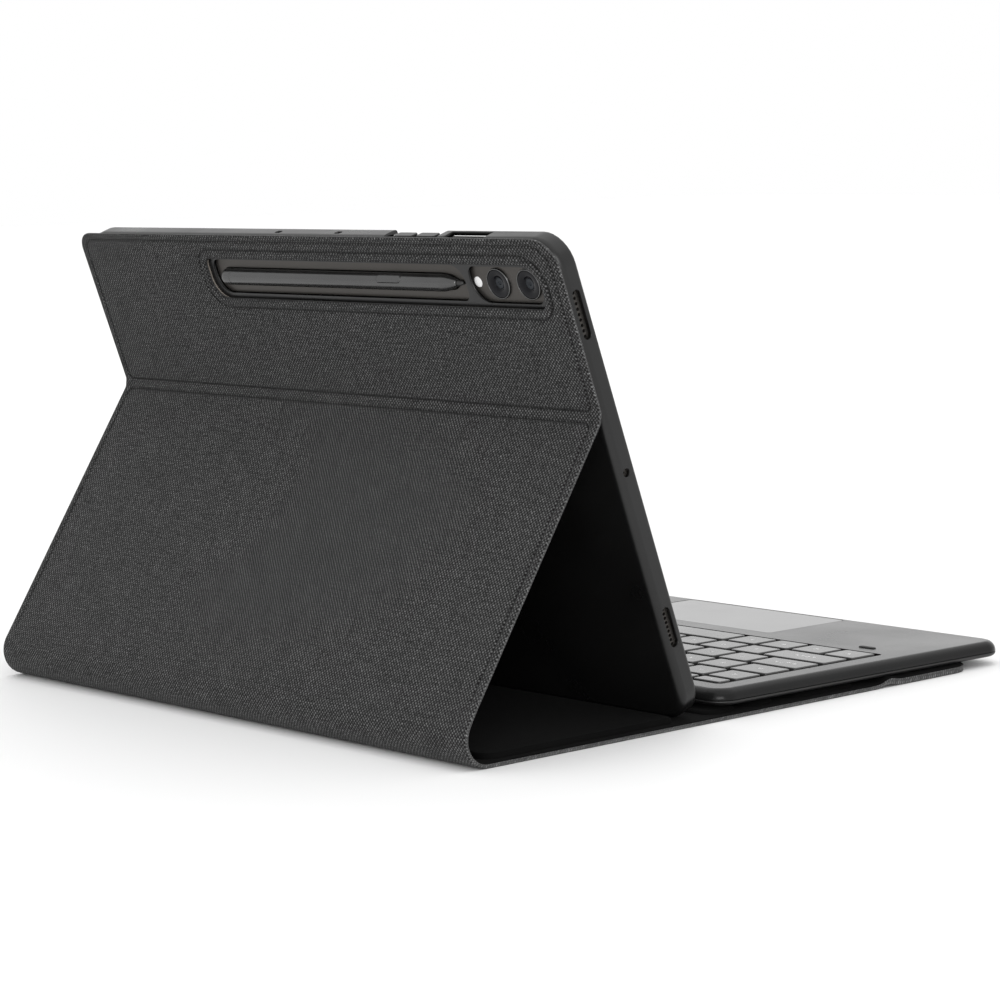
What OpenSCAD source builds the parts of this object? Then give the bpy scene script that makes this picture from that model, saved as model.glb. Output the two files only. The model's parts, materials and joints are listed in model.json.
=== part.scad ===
// Tablet keyboard case: a folding fabric cover that props up a tray with a tablet and its stylus,
// and a thin keyboard with a trackpad that lies loose on the cover's front half.
// X runs across the case, to the typist's right. Y runs from the typist to the back. Z is up.

/* [Tray] */
// Width of the tray over its side walls
tray_w = 288.6; // [286:0.2:294]
// Height of the tray, measured up its slope
tray_h = 188.6; // [186:0.2:194]
// Depth of the tray from its front rim to its back
tray_t = 8.4; // [8:0.1:9.5]
// Radius of the tray's four corners
tray_corner_r = 12; // [8:0.5:16]
// Thickness of the tray's side walls
tray_wall = 1.6; // [1.2:0.1:2.2]

/* [Stand] */
// Angle between the tray and the table
lean = 71; // [66:0.5:76]
// Height up the tray of the fold where the leg panel leaves it
fold_h = 122.3; // [115:0.5:130]
// Angle between the leg panel and the table
leg_angle = 57; // [54:0.5:60]
// Height of the crease between the leg panel and the spine strip
spine_top_z = 16.2; // [14:0.2:18]
// Height of the tray's bottom front edge above the table
tray_foot_z = 3.9; // [3.7:0.1:5]

/* [Cover] */
// Width of the fabric cover
cover_w = 292; // [290:0.5:296]
// Distance from the tray's foot to the front edge of the base
base_reach = 150.4; // [140:0.2:165]
// Thickness of the cover panel that is glued to the tray
upper_panel_t = 1.8; // [1.8:0.1:2.4]
// Radius of the cover's other outer corners
cover_corner_r = 12; // [6:0.5:16]
// Radius of the upper panel's corner away from the camera
plain_corner_r = 7; // [5:0.5:16]

/* [Keyboard] */
// Width of the keyboard
keyboard_w = 289.4; // [280:0.2:292]
// Depth of the keyboard from its front edge to its back edge
keyboard_d = 161.6; // [155:0.2:162]
// Thickness of the keyboard without its keys
keyboard_t = 6.2; // [6:0.1:7]
// Distance from the tray's foot to the front edge of the keyboard
keyboard_reach = 169.6; // [169:0.2:180]
// Slope of the keyboard, rising to the back
keyboard_tilt = 0.5; // [0.3:0.1:0.7]
// Width of one letter key with its gap
key_pitch_x = 17.67; // [16.5:0.01:18]
// Depth of one row of keys with its gap
key_pitch_y = 16; // [15:0.1:16.5]
// Travel of a key
key_travel = 1.3; // [1:0.1:1.4]

/* [Tablet] */
// Width of the tablet
tablet_w = 285.2; // [284:0.1:285.3]
// Height of the tablet
tablet_h = 185.2; // [184:0.1:185.3]
// Thickness of the tablet
tablet_t = 5.7; // [5.4:0.1:6]

/* [Stylus] */
// Diameter of the stylus
stylus_d = 6.7; // [6:0.1:7.5]
// Length of the stylus from its round end to its nib
stylus_l = 145; // [140:1:146]

/* [Hidden] */
$fn = 48;
eps = 0.02;
fabric_grey = [0.23, 0.23, 0.24];
lining_black = [0.07, 0.07, 0.07];
board_brown = [0.55, 0.48, 0.38];
plastic_black = [0.13, 0.13, 0.13];
deck_grey = [0.33, 0.33, 0.34];
key_grey = [0.68, 0.68, 0.69];
steel_grey = [0.6, 0.6, 0.62];
gap = 0.3;                            // clearance between two pieces that move on each other

// Creases, seen from the side: base_crease and leg_crease bend by the same angle
crease_bend = (180 - leg_angle) / 2;
upper_outer_t = tray_t + upper_panel_t;
fold_y = fold_h * cos(lean) + upper_outer_t * sin(lean);
fold_z = tray_foot_z + fold_h * sin(lean) - upper_outer_t * cos(lean);
leg_l = (fold_z - spine_top_z) / sin(leg_angle);
leg_crease_y = fold_y + leg_l * cos(leg_angle);
spine_l = spine_top_z / sin(crease_bend);
base_crease_y = leg_crease_y - spine_top_z / tan(crease_bend);
bevel = tan(crease_bend / 2);
mid_y = (leg_crease_y - keyboard_reach) / 2;

// Layers of the cover
cover_t = 0.7;
board_t = 0.7;
lining_t = 0.4;
base_rear_t = cover_t + board_t + lining_t;
base_front_t = 2.9;
base_step_y = [-101, -95];            // where the base grows thicker towards the front
leg_cover_t = 0.6;
leg_board_t = 0.5;
spine_board_t = 0.6;
leg_t = leg_cover_t + leg_board_t + lining_t;
board_setback = 3;                    // the boards stop short of a crease so that it can bend
board_inset = 4;                      // and of the cover's side edges
lining_inset = 1.5;
pad_half_w = 142;
stand_pad_y = [10.5, 103];
stop_pads_y = [[-22, -5], [-42, -26], [-86, -50]];
stand_pad_t = 2;
stop_pad_t = 1.4;
magnet_r = 4;
magnet_t = 1.2;
base_magnet_x = [-110, -60, 60, 110];
base_magnet_y = -128;

// Tray openings: heights are up the tray's slope, x to the typist's right
tray_floor_t = 1.4;
pocket_t = tray_t - tray_floor_t;
tablet_front_t = pocket_t - tablet_t - 0.1;
tablet_back_t = tablet_front_t + tablet_t;
tablet_foot_h = (tray_h - tablet_h) / 2;
tablet_top_h = tablet_foot_h + tablet_h;
side_slot_t = 4;                      // middle of the side openings, back from the tray's rim
speaker_slots = [[29.4, 44.9], [149.7, 168.1]];
speaker_slot_w = 3.5;
mic_h = 98.4;
mic_r = 1.5;
usb_slot = [13, 6.4];
usb_h = tray_h / 2;
top_mic_x = [16.2, -20.8];
top_mic_r = 1.2;
notch_t = 6.6;                        // how far back from the rim the notches reach
notch_rim_t = 1.6;                    // rim left in front of the card tray's notch
key_cut_x = [-80.6, -50.8];
card_cut_x = [-106.9, -84.9];
// The tray's rounded edge, as [depth, inset]
tray_edge = [[eps, 0.9], [0.9, 0.1], [1.4, 0], [5.2, 0], [6.9, 0.5], [7.9, 1.5], [tray_t - eps / 2, 3]];
// Openings in the back, as [x from, x to, h from, h to], with the radii of their corners
window = [-134, 62, 162.7, 179.3];
window_r = [3.5, 8.5, 3.5, 9];
pen_opening = [-92, 59.5, 164.4, 178.4];
pen_opening_r = [3, 7.5, 3.5, 7];
camera_opening = [-132, -94.8, 164, 178];
camera_opening_r = [3.5, 8.5, 3.5, 8.5];

// Tablet details
glass_t = 0.7;
lens_x = [-108.5, -124.6];
lens_h = 171.1;
lens_ring_r = 5.9;
lens_r = 5.3;
lens_proud = 0.8;
lens_seat = 1;
lens_glass_t = 0.4;
flash_t = 0.6;
flash_x = -97.1;
flash_h = 171.4;
flash_r = 2.1;
power_key_x = [-65.9, -55.2];
volume_key_x = [-78.6, -67.9];
card_tray_x = [-104.3, -93.5];
side_key_mid_t = 4.15;
side_key_w = 3.6;
side_key_t = 2.5;
side_key_pocket_d = 1.6;
card_tray_w = 2.4;
side_key_travel = 0.4;
side_key_rest = side_key_travel + 0.2;  // how far above its pocket's floor a side key rests
grille_holes = 9;
grille_r = 0.65;

// Stylus, along X on the tablet's back
stylus_end_x = 55.2;
stylus_mid_h = 171.1;
stylus_axis_t = 7.6;
stylus_r = stylus_d / 2;
stylus_taper = 11;
nib_l = 3;
nib_root_r = 1.2;
nib_tip_r = 0.5;
stylus_cap_l = 7;
stylus_neck = 0.78;                     // share of the radius left halfway down the taper
stylus_gap = 0.35;                      // round the stylus in the tablet's groove
stylus_button_x = [-57.5, -43.5];
stylus_button_w = 2.8;
stylus_button_turn = 36;                // round the barrel, from straight back towards the top
stylus_button_depth = 1.4;
stylus_button_proud = 0.15;
stylus_button_travel = 0.3;

// Keyboard, in its own frame: y from its front edge, z from its underside
deck_parting = 2;
keyboard_corner_r = 9;
keyboard_foot_z = 3.3;
deck_skin = 1.2;
deck_wall = 2.4;
bottom_skin = 0.9;
field_w = 15 * key_pitch_x;
field_front = 60.6;
function_pitch = 9;
field_d = 5 * key_pitch_y + function_pitch;
key_gap = 2.4;
key_proud = 0.3;
key_t = 1.9;
key_skin = 1;
well_margin = 1;
plate_t = 0.5;
plate_z = keyboard_t + key_proud - key_t - key_travel - 0.2 - plate_t;
membrane_t = 0.35;
dome_t = 0.9;
trackpad_x = [-62.6, 29];
trackpad_y = [4.1, 50.4];
trackpad_t = 1;
trackpad_gap = 0.35;
bumper_x = 117.7;
bumper_y = 51.6;
bumper_size = [8, 2.4, 0.9];
bumper_seat = 0.5;
switch_y = 128;
switch_z = 1.2;                       // above the parting line
switch_size = [2.6, 5, 1.4];
switch_travel = 2.5;
usb_y = 112;
usb_z = 1.6;
screws = [[-137, 6.5], [58, 6.5], [137, 6.5], [-137, 156.5], [0, 156.5], [137, 156.5]];
boss_r = 2.2;
magnet_y = keyboard_reach + base_magnet_y;
magnet_z = bottom_skin - 0.3;
battery_x = [-54, -3];
battery_y = 8;
battery_size = [48, 40, 2.6];
main_board_at = [74, 12];
main_board_size = [56, 34, 1];
small_dome_r = 1.4;
dome_r = 2.4;
light_r = 0.8;
light_l = 1.6;
// The keyboard's rounded edges, as [height, inset]
deck_edge = [[deck_parting, 0], [3, 0.1], [4.4, 0.6], [5.6, 1.9], [keyboard_t - eps, 3.8]];
bottom_edge = [[0, 2.2], [0.6, 0.9], [1.4, 0.2], [deck_parting - eps, 0]];
// Feet on each side, as [x, y, width, depth, thickness]
feet = [[105, keyboard_reach - 13.5, 40, 9, 1.1], [90, keyboard_reach - 142, 30, 7, 0.3]];

// ---------------------------------------------------------------- frames

module in_place() translate([0, -mid_y, 0]) children();

// The tray's frame: x across, y back from its front rim, z up its slope from its foot
module on_tray() in_place() translate([0, 0, tray_foot_z]) rotate([lean - 90, 0, 0]) children();

// A panel's frame: y out of its fabric face, z up the panel from its lower crease
module on_leg()
  in_place() translate([0, leg_crease_y, spine_top_z]) rotate([90 - leg_angle, 0, 0]) children();

module on_spine() in_place() translate([0, base_crease_y, 0]) rotate([crease_bend - 90, 0, 0]) children();

module on_keyboard()
  in_place() translate([0, -keyboard_reach, keyboard_foot_z]) rotate([keyboard_tilt, 0, 0]) children();

// ---------------------------------------------------------------- helpers

module rounded_rect(w, h, r) {
  square([w - 2 * r, h], center = true);
  square([w, h - 2 * r], center = true);
  for (sx = [-1, 1], sy = [-1, 1]) translate([sx * (w / 2 - r), sy * (h / 2 - r)]) circle(r);
}

// A rectangle [x0, x1, y0, y1] with its own radius at each corner, anticlockwise from low x and low y
module leaf(b, r, grow = 0) {
  x0 = b[0] - grow;
  x1 = b[1] + grow;
  y0 = b[2] - grow;
  y1 = b[3] + grow;
  q = [for (k = r) k + grow];
  polygon([[x0 + q[0], y0], [x1 - q[1], y0], [x1, y0 + q[1]], [x1, y1 - q[2]],
           [x1 - q[2], y1], [x0 + q[3], y1], [x0, y1 - q[3]], [x0, y0 + q[0]]]);
  translate([x0 + q[0], y0 + q[0]]) circle(q[0]);
  translate([x1 - q[1], y0 + q[1]]) circle(q[1]);
  translate([x1 - q[2], y1 - q[2]]) circle(q[2]);
  translate([x0 + q[3], y1 - q[3]]) circle(q[3]);
}

// Extrudes an outline drawn in x and height between two depths
module plate(from_t, to_t)
  translate([0, to_t, 0]) rotate([90, 0, 0]) linear_extrude(to_t - from_t) children();

// Extrudes a side view, drawn in y and z, across the case
module across(w) rotate([90, 0, 90]) linear_extrude(w, center = true) children();

// A slot with round ends, length along y, cut along x
module slot_across(l, w, depth) {
  cube([depth, l - w, w], center = true);
  for (s = [-1, 1]) translate([0, s * (l - w) / 2, 0]) rotate([0, 90, 0])
    cylinder(depth, r = w / 2, center = true);
}

// A slab in the tray's frame, its front and back edges rounded as [depth, inset] says
module soft_slab(w, h, r, layers) {
  hull() for (layer = layers)
    translate([0, layer[0], h / 2]) rotate([90, 0, 0]) linear_extrude(eps, center = true)
      rounded_rect(w - 2 * layer[1], h - 2 * layer[1], max(r - layer[1], 1), $fn = 32);
}

// A panel layer between two depths behind its fabric face. Its ends, [lower, upper], are set back
// from the creases and bevelled so that two panels meet across a bent crease.
module panel(w, l, from_t, to_t, ends, bevels)
  across(w) polygon([[-from_t, ends[0] + from_t * bevels[0]], [-from_t, l - ends[1] - from_t * bevels[1]],
                     [-to_t, l - ends[1] - to_t * bevels[1]], [-to_t, ends[0] + to_t * bevels[0]]]);

// ---------------------------------------------------------------- base of the cover

module base_outline(inset, rear_gap) {
  r = cover_corner_r - inset;
  front = -base_reach + inset;
  rear = base_crease_y - rear_gap;
  half = cover_w / 2 - inset;
  translate([-half, front + r]) square([2 * half, rear - front - r]);
  translate([-half + r, front]) square([2 * (half - r), r + eps]);
  for (s = [-1, 1]) translate([s * (half - r), front + r]) circle(r);
}

module base_slab(inset, rear_gap, low, high)
  translate([0, 0, low]) linear_extrude(high - low) base_outline(inset, rear_gap);

module base_cover() color(fabric_grey) in_place() intersection() {
  base_slab(0, gap, 0, cover_t);
  across(cover_w) polygon([[-base_reach, 0], [base_crease_y - gap, 0],
                           [base_crease_y - gap - cover_t * bevel, cover_t], [-base_reach, cover_t]]);
}

// The two boards, lowered by drop so that the same shapes cut the lining's pockets
module rear_board_shape(drop = 0) translate([0, 0, cover_t - drop]) linear_extrude(board_t + drop)
  translate([-cover_w / 2 + board_inset, base_step_y[1]])
    square([cover_w - 2 * board_inset, base_crease_y - board_setback - base_step_y[1]]);

module front_board_shape(drop = 0) intersection() {
  base_slab(board_inset, 0, cover_t - drop, base_front_t - lining_t);
  translate([-cover_w / 2, -base_reach, 0]) cube([cover_w, base_reach + base_step_y[0], base_front_t]);
}

module base_rear_board() color(board_brown) in_place() rear_board_shape();

module base_front_board() color(board_brown) in_place() difference() {
  front_board_shape();
  for (x = base_magnet_x) translate([x, base_magnet_y, base_front_t - lining_t - magnet_t])
    cylinder(magnet_t + eps, r = magnet_r + 0.1);
}

// The lining is a skirt round the boards and a sheet over them, thicker at the front
module base_lining() color(lining_black) in_place() difference() {
  intersection() {
    base_slab(lining_inset, base_rear_t, cover_t, base_front_t);
    across(cover_w) polygon([[-base_reach, cover_t], [base_crease_y, cover_t], [base_crease_y, base_rear_t],
      [base_step_y[1], base_rear_t], [base_step_y[0], base_front_t], [-base_reach, base_front_t]]);
  }
  rear_board_shape(eps);
  front_board_shape(eps);
}

module stand_pad() color(lining_black) in_place() translate([0, 0, base_rear_t]) linear_extrude(stand_pad_t)
  translate([0, (stand_pad_y[0] + stand_pad_y[1]) / 2])
    rounded_rect(2 * pad_half_w, stand_pad_y[1] - stand_pad_y[0], 6);

module angle_stops() color(lining_black) in_place() for (span = stop_pads_y)
  translate([0, (span[0] + span[1]) / 2, base_rear_t]) linear_extrude(stop_pad_t)
    rounded_rect(2 * pad_half_w, span[1] - span[0], 3);

module base_magnets() color(steel_grey) in_place() for (x = base_magnet_x)
  translate([x, base_magnet_y, base_front_t - lining_t - magnet_t]) cylinder(magnet_t, r = magnet_r);

// ---------------------------------------------------------------- spine and leg of the cover

module board_panel(l, from_t, to_t)
  panel(cover_w - 2 * board_inset, l, from_t, to_t, [board_setback, board_setback], [0, 0]);

module spine_cover() color(fabric_grey) on_spine()
  panel(cover_w, spine_l, 0, cover_t, [gap, gap], [bevel, bevel]);

module spine_board() color(board_brown) on_spine() board_panel(spine_l, cover_t, cover_t + spine_board_t);

module leg_cover() color(fabric_grey)
  on_leg() panel(cover_w, leg_l, 0, leg_cover_t, [gap, gap], [bevel, 0]);

module leg_board() color(board_brown) on_leg() board_panel(leg_l, leg_cover_t, leg_cover_t + leg_board_t);

module leg_lining() color(lining_black) on_leg() difference() {
  panel(cover_w - 2 * lining_inset, leg_l, leg_cover_t, leg_t, [lining_inset, 1], [bevel, 0]);
  board_panel(leg_l, leg_cover_t - eps, leg_cover_t + leg_board_t);
}

// ---------------------------------------------------------------- upper panel and tray

module upper_outline(inset) {
  low = fold_h + gap;
  high = tray_h + 0.6 - inset;
  half = cover_w / 2 - inset;
  left_r = cover_corner_r - inset;
  right_r = plain_corner_r - inset;
  translate([-half, low]) square([2 * half, high - low - left_r]);
  translate([-half + left_r, low]) square([2 * half - left_r - right_r, high - low]);
  translate([0, low]) square([half, high - low - right_r]);
  translate([-half + left_r, high - left_r]) circle(left_r);
  translate([half - right_r, high - right_r]) circle(right_r);
}

module window_outline(grow) leaf(window, window_r, grow);

module upper_cover() color(fabric_grey)
  on_tray() plate(upper_outer_t - cover_t, upper_outer_t) difference() {
    upper_outline(0);
    window_outline(0);
  }

module upper_board() color(board_brown) on_tray() plate(tray_t, upper_outer_t - cover_t) difference() {
  upper_outline(board_inset);
  window_outline(0.5);
}

module top_notch(span, from_t) translate([span[0], from_t, tray_h - 2 * tray_wall])
  cube([span[1] - span[0], notch_t - from_t, 3 * tray_wall]);

module tray_shell() color(plastic_black) on_tray() difference() {
  soft_slab(tray_w, tray_h, tray_corner_r, tray_edge);
  plate(-1, pocket_t) translate([0, tray_h / 2])
    rounded_rect(tray_w - 2 * tray_wall, tray_h - 2 * tray_wall, tray_corner_r - tray_wall);
  plate(pocket_t - eps, tray_t + 1) leaf(pen_opening, pen_opening_r);
  plate(pocket_t - eps, tray_t + 1) leaf(camera_opening, camera_opening_r);
  for (s = [-1, 1], span = speaker_slots)
    translate([s * tray_w / 2, side_slot_t, (span[0] + span[1]) / 2]) rotate([90, 0, 0])
      slot_across(span[1] - span[0], speaker_slot_w, 4 * tray_wall);
  translate([-tray_w / 2, side_slot_t, mic_h]) rotate([0, 90, 0])
    cylinder(4 * tray_wall, r = mic_r, center = true);
  // the plug's cut-out is open at the front rim, so a cable need not be pulled to take the tablet out
  translate([tray_w / 2, side_slot_t, usb_h]) rotate([90, 0, 0])
    slot_across(usb_slot[0], usb_slot[1], 4 * tray_wall);
  translate([tray_w / 2 - 2 * tray_wall, -1, usb_h - usb_slot[0] / 2])
    cube([4 * tray_wall, side_slot_t + 1, usb_slot[0]]);
  for (x = top_mic_x) translate([x, side_slot_t, tray_h])
    cylinder(4 * tray_wall, r = top_mic_r, center = true);
  // the side keys' notch is open at the front rim, so they can leave with the tablet
  top_notch(key_cut_x, -1);
  top_notch(card_cut_x, notch_rim_t);
}

// ---------------------------------------------------------------- tablet

module tablet_outline(inset) translate([0, tray_h / 2])
  rounded_rect(tablet_w - 2 * inset, tablet_h - 2 * inset, tray_corner_r - tray_wall - inset);

module side_key_pocket(span)
  translate([span[0] - gap, side_key_mid_t - side_key_w / 2 - gap, tablet_top_h - side_key_pocket_d])
    cube([span[1] - span[0] + 2 * gap, side_key_w + 2 * gap, 3]);

module card_tray_shape(height) translate([card_tray_x[0], side_slot_t - card_tray_w / 2, tablet_top_h - 1])
  cube([card_tray_x[1] - card_tray_x[0], card_tray_w, height]);

module tablet_housing() color([0.27, 0.26, 0.25]) on_tray() difference() {
  plate(tablet_front_t + glass_t, tablet_back_t) tablet_outline(0);
  // groove that holds the stylus
  translate([stylus_end_x, stylus_axis_t, stylus_mid_h]) rotate([0, -90, 0]) stylus_shape(stylus_gap);
  for (x = lens_x) translate([x, tablet_back_t - lens_seat, lens_h]) rotate([-90, 0, 0])
    cylinder(lens_seat + 1, r = lens_ring_r);
  translate([flash_x, tablet_back_t - flash_t, flash_h]) rotate([-90, 0, 0]) cylinder(1, r = flash_r);
  for (s = [-1, 1], span = speaker_slots, k = [0 : grille_holes - 1])
    translate([s * tablet_w / 2, side_slot_t, span[0] + (k + 0.5) * (span[1] - span[0]) / grille_holes])
      rotate([0, 90, 0]) cylinder(4, r = grille_r, center = true);
  translate([-tablet_w / 2, side_slot_t, mic_h]) rotate([0, 90, 0]) cylinder(4, r = 0.4, center = true);
  translate([tablet_w / 2 - 3, side_slot_t, usb_h]) rotate([90, 0, 0]) slot_across(8.9, 3, 8);
  side_key_pocket(power_key_x);
  side_key_pocket(volume_key_x);
  card_tray_shape(2);
}

module tablet_glass() color([0.03, 0.03, 0.03]) on_tray()
  plate(tablet_front_t, tablet_front_t + glass_t) tablet_outline(0.3);

module camera_rings() color([0.5, 0.5, 0.5]) on_tray() for (x = lens_x)
  translate([x, tablet_back_t - lens_seat, lens_h]) rotate([-90, 0, 0]) difference() {
    cylinder(lens_seat + lens_proud, r = lens_ring_r);
    translate([0, 0, lens_glass_t]) cylinder(3, r = lens_r);
  }

module camera_lenses() color([0.05, 0.05, 0.06]) on_tray() for (x = lens_x)
  translate([x, tablet_back_t - lens_seat + lens_glass_t, lens_h]) rotate([-90, 0, 0])
    cylinder(lens_glass_t + lens_proud, r = lens_r);

module camera_flash() color([0.9, 0.9, 0.88]) on_tray()
  translate([flash_x, tablet_back_t - flash_t, flash_h]) rotate([-90, 0, 0])
    cylinder(flash_t, r = flash_r);

module card_tray() color([0.24, 0.23, 0.22]) on_tray() card_tray_shape(1);

module side_key(span) color([0.2, 0.2, 0.2]) on_tray()
  translate([span[0], side_key_mid_t - side_key_w / 2, tablet_top_h - side_key_pocket_d + side_key_rest])
    cube([span[1] - span[0], side_key_w, side_key_t]);

module power_key() side_key(power_key_x);
module volume_key() side_key(volume_key_x);

// ---------------------------------------------------------------- stylus

module on_stylus()
  on_tray() translate([stylus_end_x, stylus_axis_t, stylus_mid_h]) rotate([0, -90, 0]) children();

// The stylus's outline turned about its axis, grown all round.
module stylus_shape(grow) rotate_extrude() {
  intersection() {
    translate([0, stylus_r]) circle(stylus_r + grow);
    translate([0, -grow]) square(stylus_r + grow);
  }
  translate([0, stylus_r]) square([stylus_r + grow, stylus_l - stylus_taper - stylus_r]);
  translate([0, stylus_l - stylus_taper]) polygon([[0, 0], [stylus_r + grow, 0],
    [stylus_neck * stylus_r + grow, stylus_taper / 2], [nib_root_r + grow, stylus_taper - nib_l],
    [nib_tip_r + grow, stylus_taper + grow], [0, stylus_taper + grow]]);
}

module stylus_button_shape(grow, low, high)
  on_tray() translate([(stylus_button_x[0] + stylus_button_x[1]) / 2, stylus_axis_t, stylus_mid_h])
    rotate([stylus_button_turn, 0, 0]) plate(stylus_r + low, stylus_r + high)
      rounded_rect(stylus_button_x[1] - stylus_button_x[0] + 2 * grow, stylus_button_w + 2 * grow,
                   stylus_button_w / 2 + grow);

module stylus_barrel() color([0.3, 0.3, 0.31]) difference() {
  on_stylus() rotate_extrude()
    polygon([[0, stylus_cap_l], [stylus_r, stylus_cap_l], [stylus_r, stylus_l - stylus_taper],
             [stylus_neck * stylus_r, stylus_l - stylus_taper / 2], [nib_root_r, stylus_l - nib_l],
             [0, stylus_l - nib_l]]);
  stylus_button_shape(gap, -stylus_button_depth, stylus_r);
}

module stylus_nib() color([0.15, 0.15, 0.15]) on_stylus()
  translate([0, 0, stylus_l - nib_l]) cylinder(nib_l, r1 = nib_root_r - 0.1, r2 = nib_tip_r);

module stylus_cap() color([0.26, 0.26, 0.27]) on_stylus() rotate_extrude() {
  intersection() {
    translate([0, stylus_r]) circle(stylus_r);
    square(stylus_r);
  }
  translate([0, stylus_r]) square([stylus_r, stylus_cap_l - stylus_r]);
}

module stylus_button() color([0.3, 0.3, 0.31])
  stylus_button_shape(0, stylus_button_travel + gap - stylus_button_depth, stylus_button_proud);

// ---------------------------------------------------------------- keyboard case

module keyboard_outline(inset) translate([0, keyboard_d / 2])
  rounded_rect(keyboard_w - 2 * inset, keyboard_d - 2 * inset, keyboard_corner_r - inset);

// The keyboard's body between two heights, its edges rounded as [height, inset] says
module keyboard_solid(layers) hull() for (layer = layers)
  translate([0, 0, layer[0]]) linear_extrude(eps) keyboard_outline(layer[1], $fn = 32);

module switch_slot() translate([keyboard_w / 2, switch_y, deck_parting + switch_z])
  cube([6, switch_size[1] + 0.5 + switch_travel + 2 * gap, switch_size[2] + 2 * gap], center = true);

// The screw bosses stand up through a hollow of the keyboard's body
module hollow_outline() difference() {
  keyboard_outline(deck_wall + 1.4);
  for (at = screws) translate(at) circle(boss_r);
}

module trackpad_outline(inset, r)
  translate([(trackpad_x[0] + trackpad_x[1]) / 2, (trackpad_y[0] + trackpad_y[1]) / 2])
    rounded_rect(trackpad_x[1] - trackpad_x[0] - 2 * inset, trackpad_y[1] - trackpad_y[0] - 2 * inset, r);

module field_outline(grow) translate([0, field_front + field_d / 2])
  rounded_rect(field_w + 2 * grow, field_d + 2 * grow, 2.5);

module bumper_outlines() for (s = [-1, 1]) translate([s * bumper_x, bumper_y])
  rounded_rect(bumper_size[0], bumper_size[1], 1);

module light_places() for (k = [0, 1])
  translate([field_w / 2 - 8 - 6 * k, field_front + field_d + 4.5, 0]) children();

module keyboard_deck() color(deck_grey) on_keyboard() difference() {
  keyboard_solid(deck_edge);
  translate([0, 0, deck_parting - eps])
    linear_extrude(keyboard_t - deck_skin - deck_parting) hollow_outline();
  linear_extrude(keyboard_t + 1) {
    field_outline(well_margin);
    trackpad_outline(0, 2.5);
  }
  translate([0, 0, keyboard_t - bumper_seat]) linear_extrude(1) bumper_outlines();
  light_places() cylinder(keyboard_t + 1, r = light_r);
  switch_slot();
  translate([keyboard_w / 2 - 2, usb_y, deck_parting + usb_z]) slot_across(9.2, 3, 10);
  for (at = screws) translate(at) cylinder(deck_parting + 2.4, r = 0.8);
}

module keyboard_bottom() color([0.2, 0.2, 0.2]) on_keyboard() difference() {
  keyboard_solid(bottom_edge);
  translate([0, 0, bottom_skin]) linear_extrude(deck_parting) hollow_outline();
  for (at = screws) translate([at[0], at[1], -1]) {
    cylinder(deck_parting + 2, r = 0.9);
    cylinder(1.7, r = 1.8);
  }
  for (x = base_magnet_x) translate([x, magnet_y, magnet_z]) cylinder(2, r = magnet_r + 0.1);
}

module keyboard_screws() color(steel_grey) on_keyboard() for (at = screws) translate(at) {
  translate([0, 0, 0.1]) cylinder(0.6, r = 1.6);
  translate([0, 0, 0.1]) cylinder(deck_parting + 2, r = 0.75);
}

// Two rear feet and two thinner front ones: the base is thicker under the front
module keyboard_feet() color(lining_black) on_keyboard() for (s = [-1, 1], foot = feet)
  translate([s * foot[0], foot[1], -foot[4]]) linear_extrude(foot[4]) rounded_rect(foot[2], foot[3], 3);

module screen_bumpers() color(lining_black) on_keyboard()
  translate([0, 0, keyboard_t - bumper_seat]) linear_extrude(bumper_size[2]) bumper_outlines();

module keyboard_magnets() color(steel_grey) on_keyboard() for (x = base_magnet_x)
  translate([x, magnet_y, magnet_z]) cylinder(magnet_t, r = magnet_r);

// ---------------------------------------------------------------- inside the keyboard

module key_plate() color(steel_grey) on_keyboard()
  translate([0, 0, plate_z]) linear_extrude(plate_t) field_outline(2 * well_margin);

module key_membrane() color([0.75, 0.75, 0.7]) on_keyboard()
  translate([0, 0, plate_z - membrane_t]) linear_extrude(membrane_t) field_outline(1.5 * well_margin);

module key_domes() color([0.85, 0.85, 0.85]) on_keyboard() for (g = key_groups, k = [0 : len(g[2]) - 1])
  translate([key_mid_x(g, k), key_mid_y(g[0]), plate_z + plate_t])
    cylinder(dome_t, r = g[0] == function_row ? small_dome_r : dome_r);

module main_board() color([0.1, 0.3, 0.18]) on_keyboard() difference() {
  translate([main_board_at[0], main_board_at[1], bottom_skin]) cube(main_board_size);
  translate([base_magnet_x[3], magnet_y, 0]) cylinder(4, r = magnet_r + 0.6);
}

module battery_cells() color([0.75, 0.75, 0.78]) on_keyboard()
  for (x = battery_x) translate([x, battery_y, bottom_skin]) cube(battery_size);

module status_lights() color([0.8, 0.9, 0.8]) on_keyboard()
  light_places() translate([0, 0, keyboard_t - light_l]) cylinder(light_l, r = light_r);

module keyboard_usb_socket() color(steel_grey) on_keyboard()
  translate([keyboard_w / 2 - 4.6, usb_y, deck_parting + usb_z]) difference() {
    slot_across(9.2, 3, 4);
    translate([1.2, 0, 0]) slot_across(8.6, 2.4, 4);
  }

module trackpad() color([0.45, 0.45, 0.46]) on_keyboard()
  translate([0, 0, keyboard_t - trackpad_t - 0.05])
    linear_extrude(trackpad_t) trackpad_outline(trackpad_gap, 2.2);

module power_switch() color([0.15, 0.15, 0.15]) on_keyboard()
  translate([keyboard_w / 2 - 1, switch_y - switch_travel / 2, deck_parting + switch_z])
    cube(switch_size, center = true);

// ---------------------------------------------------------------- keys

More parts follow.
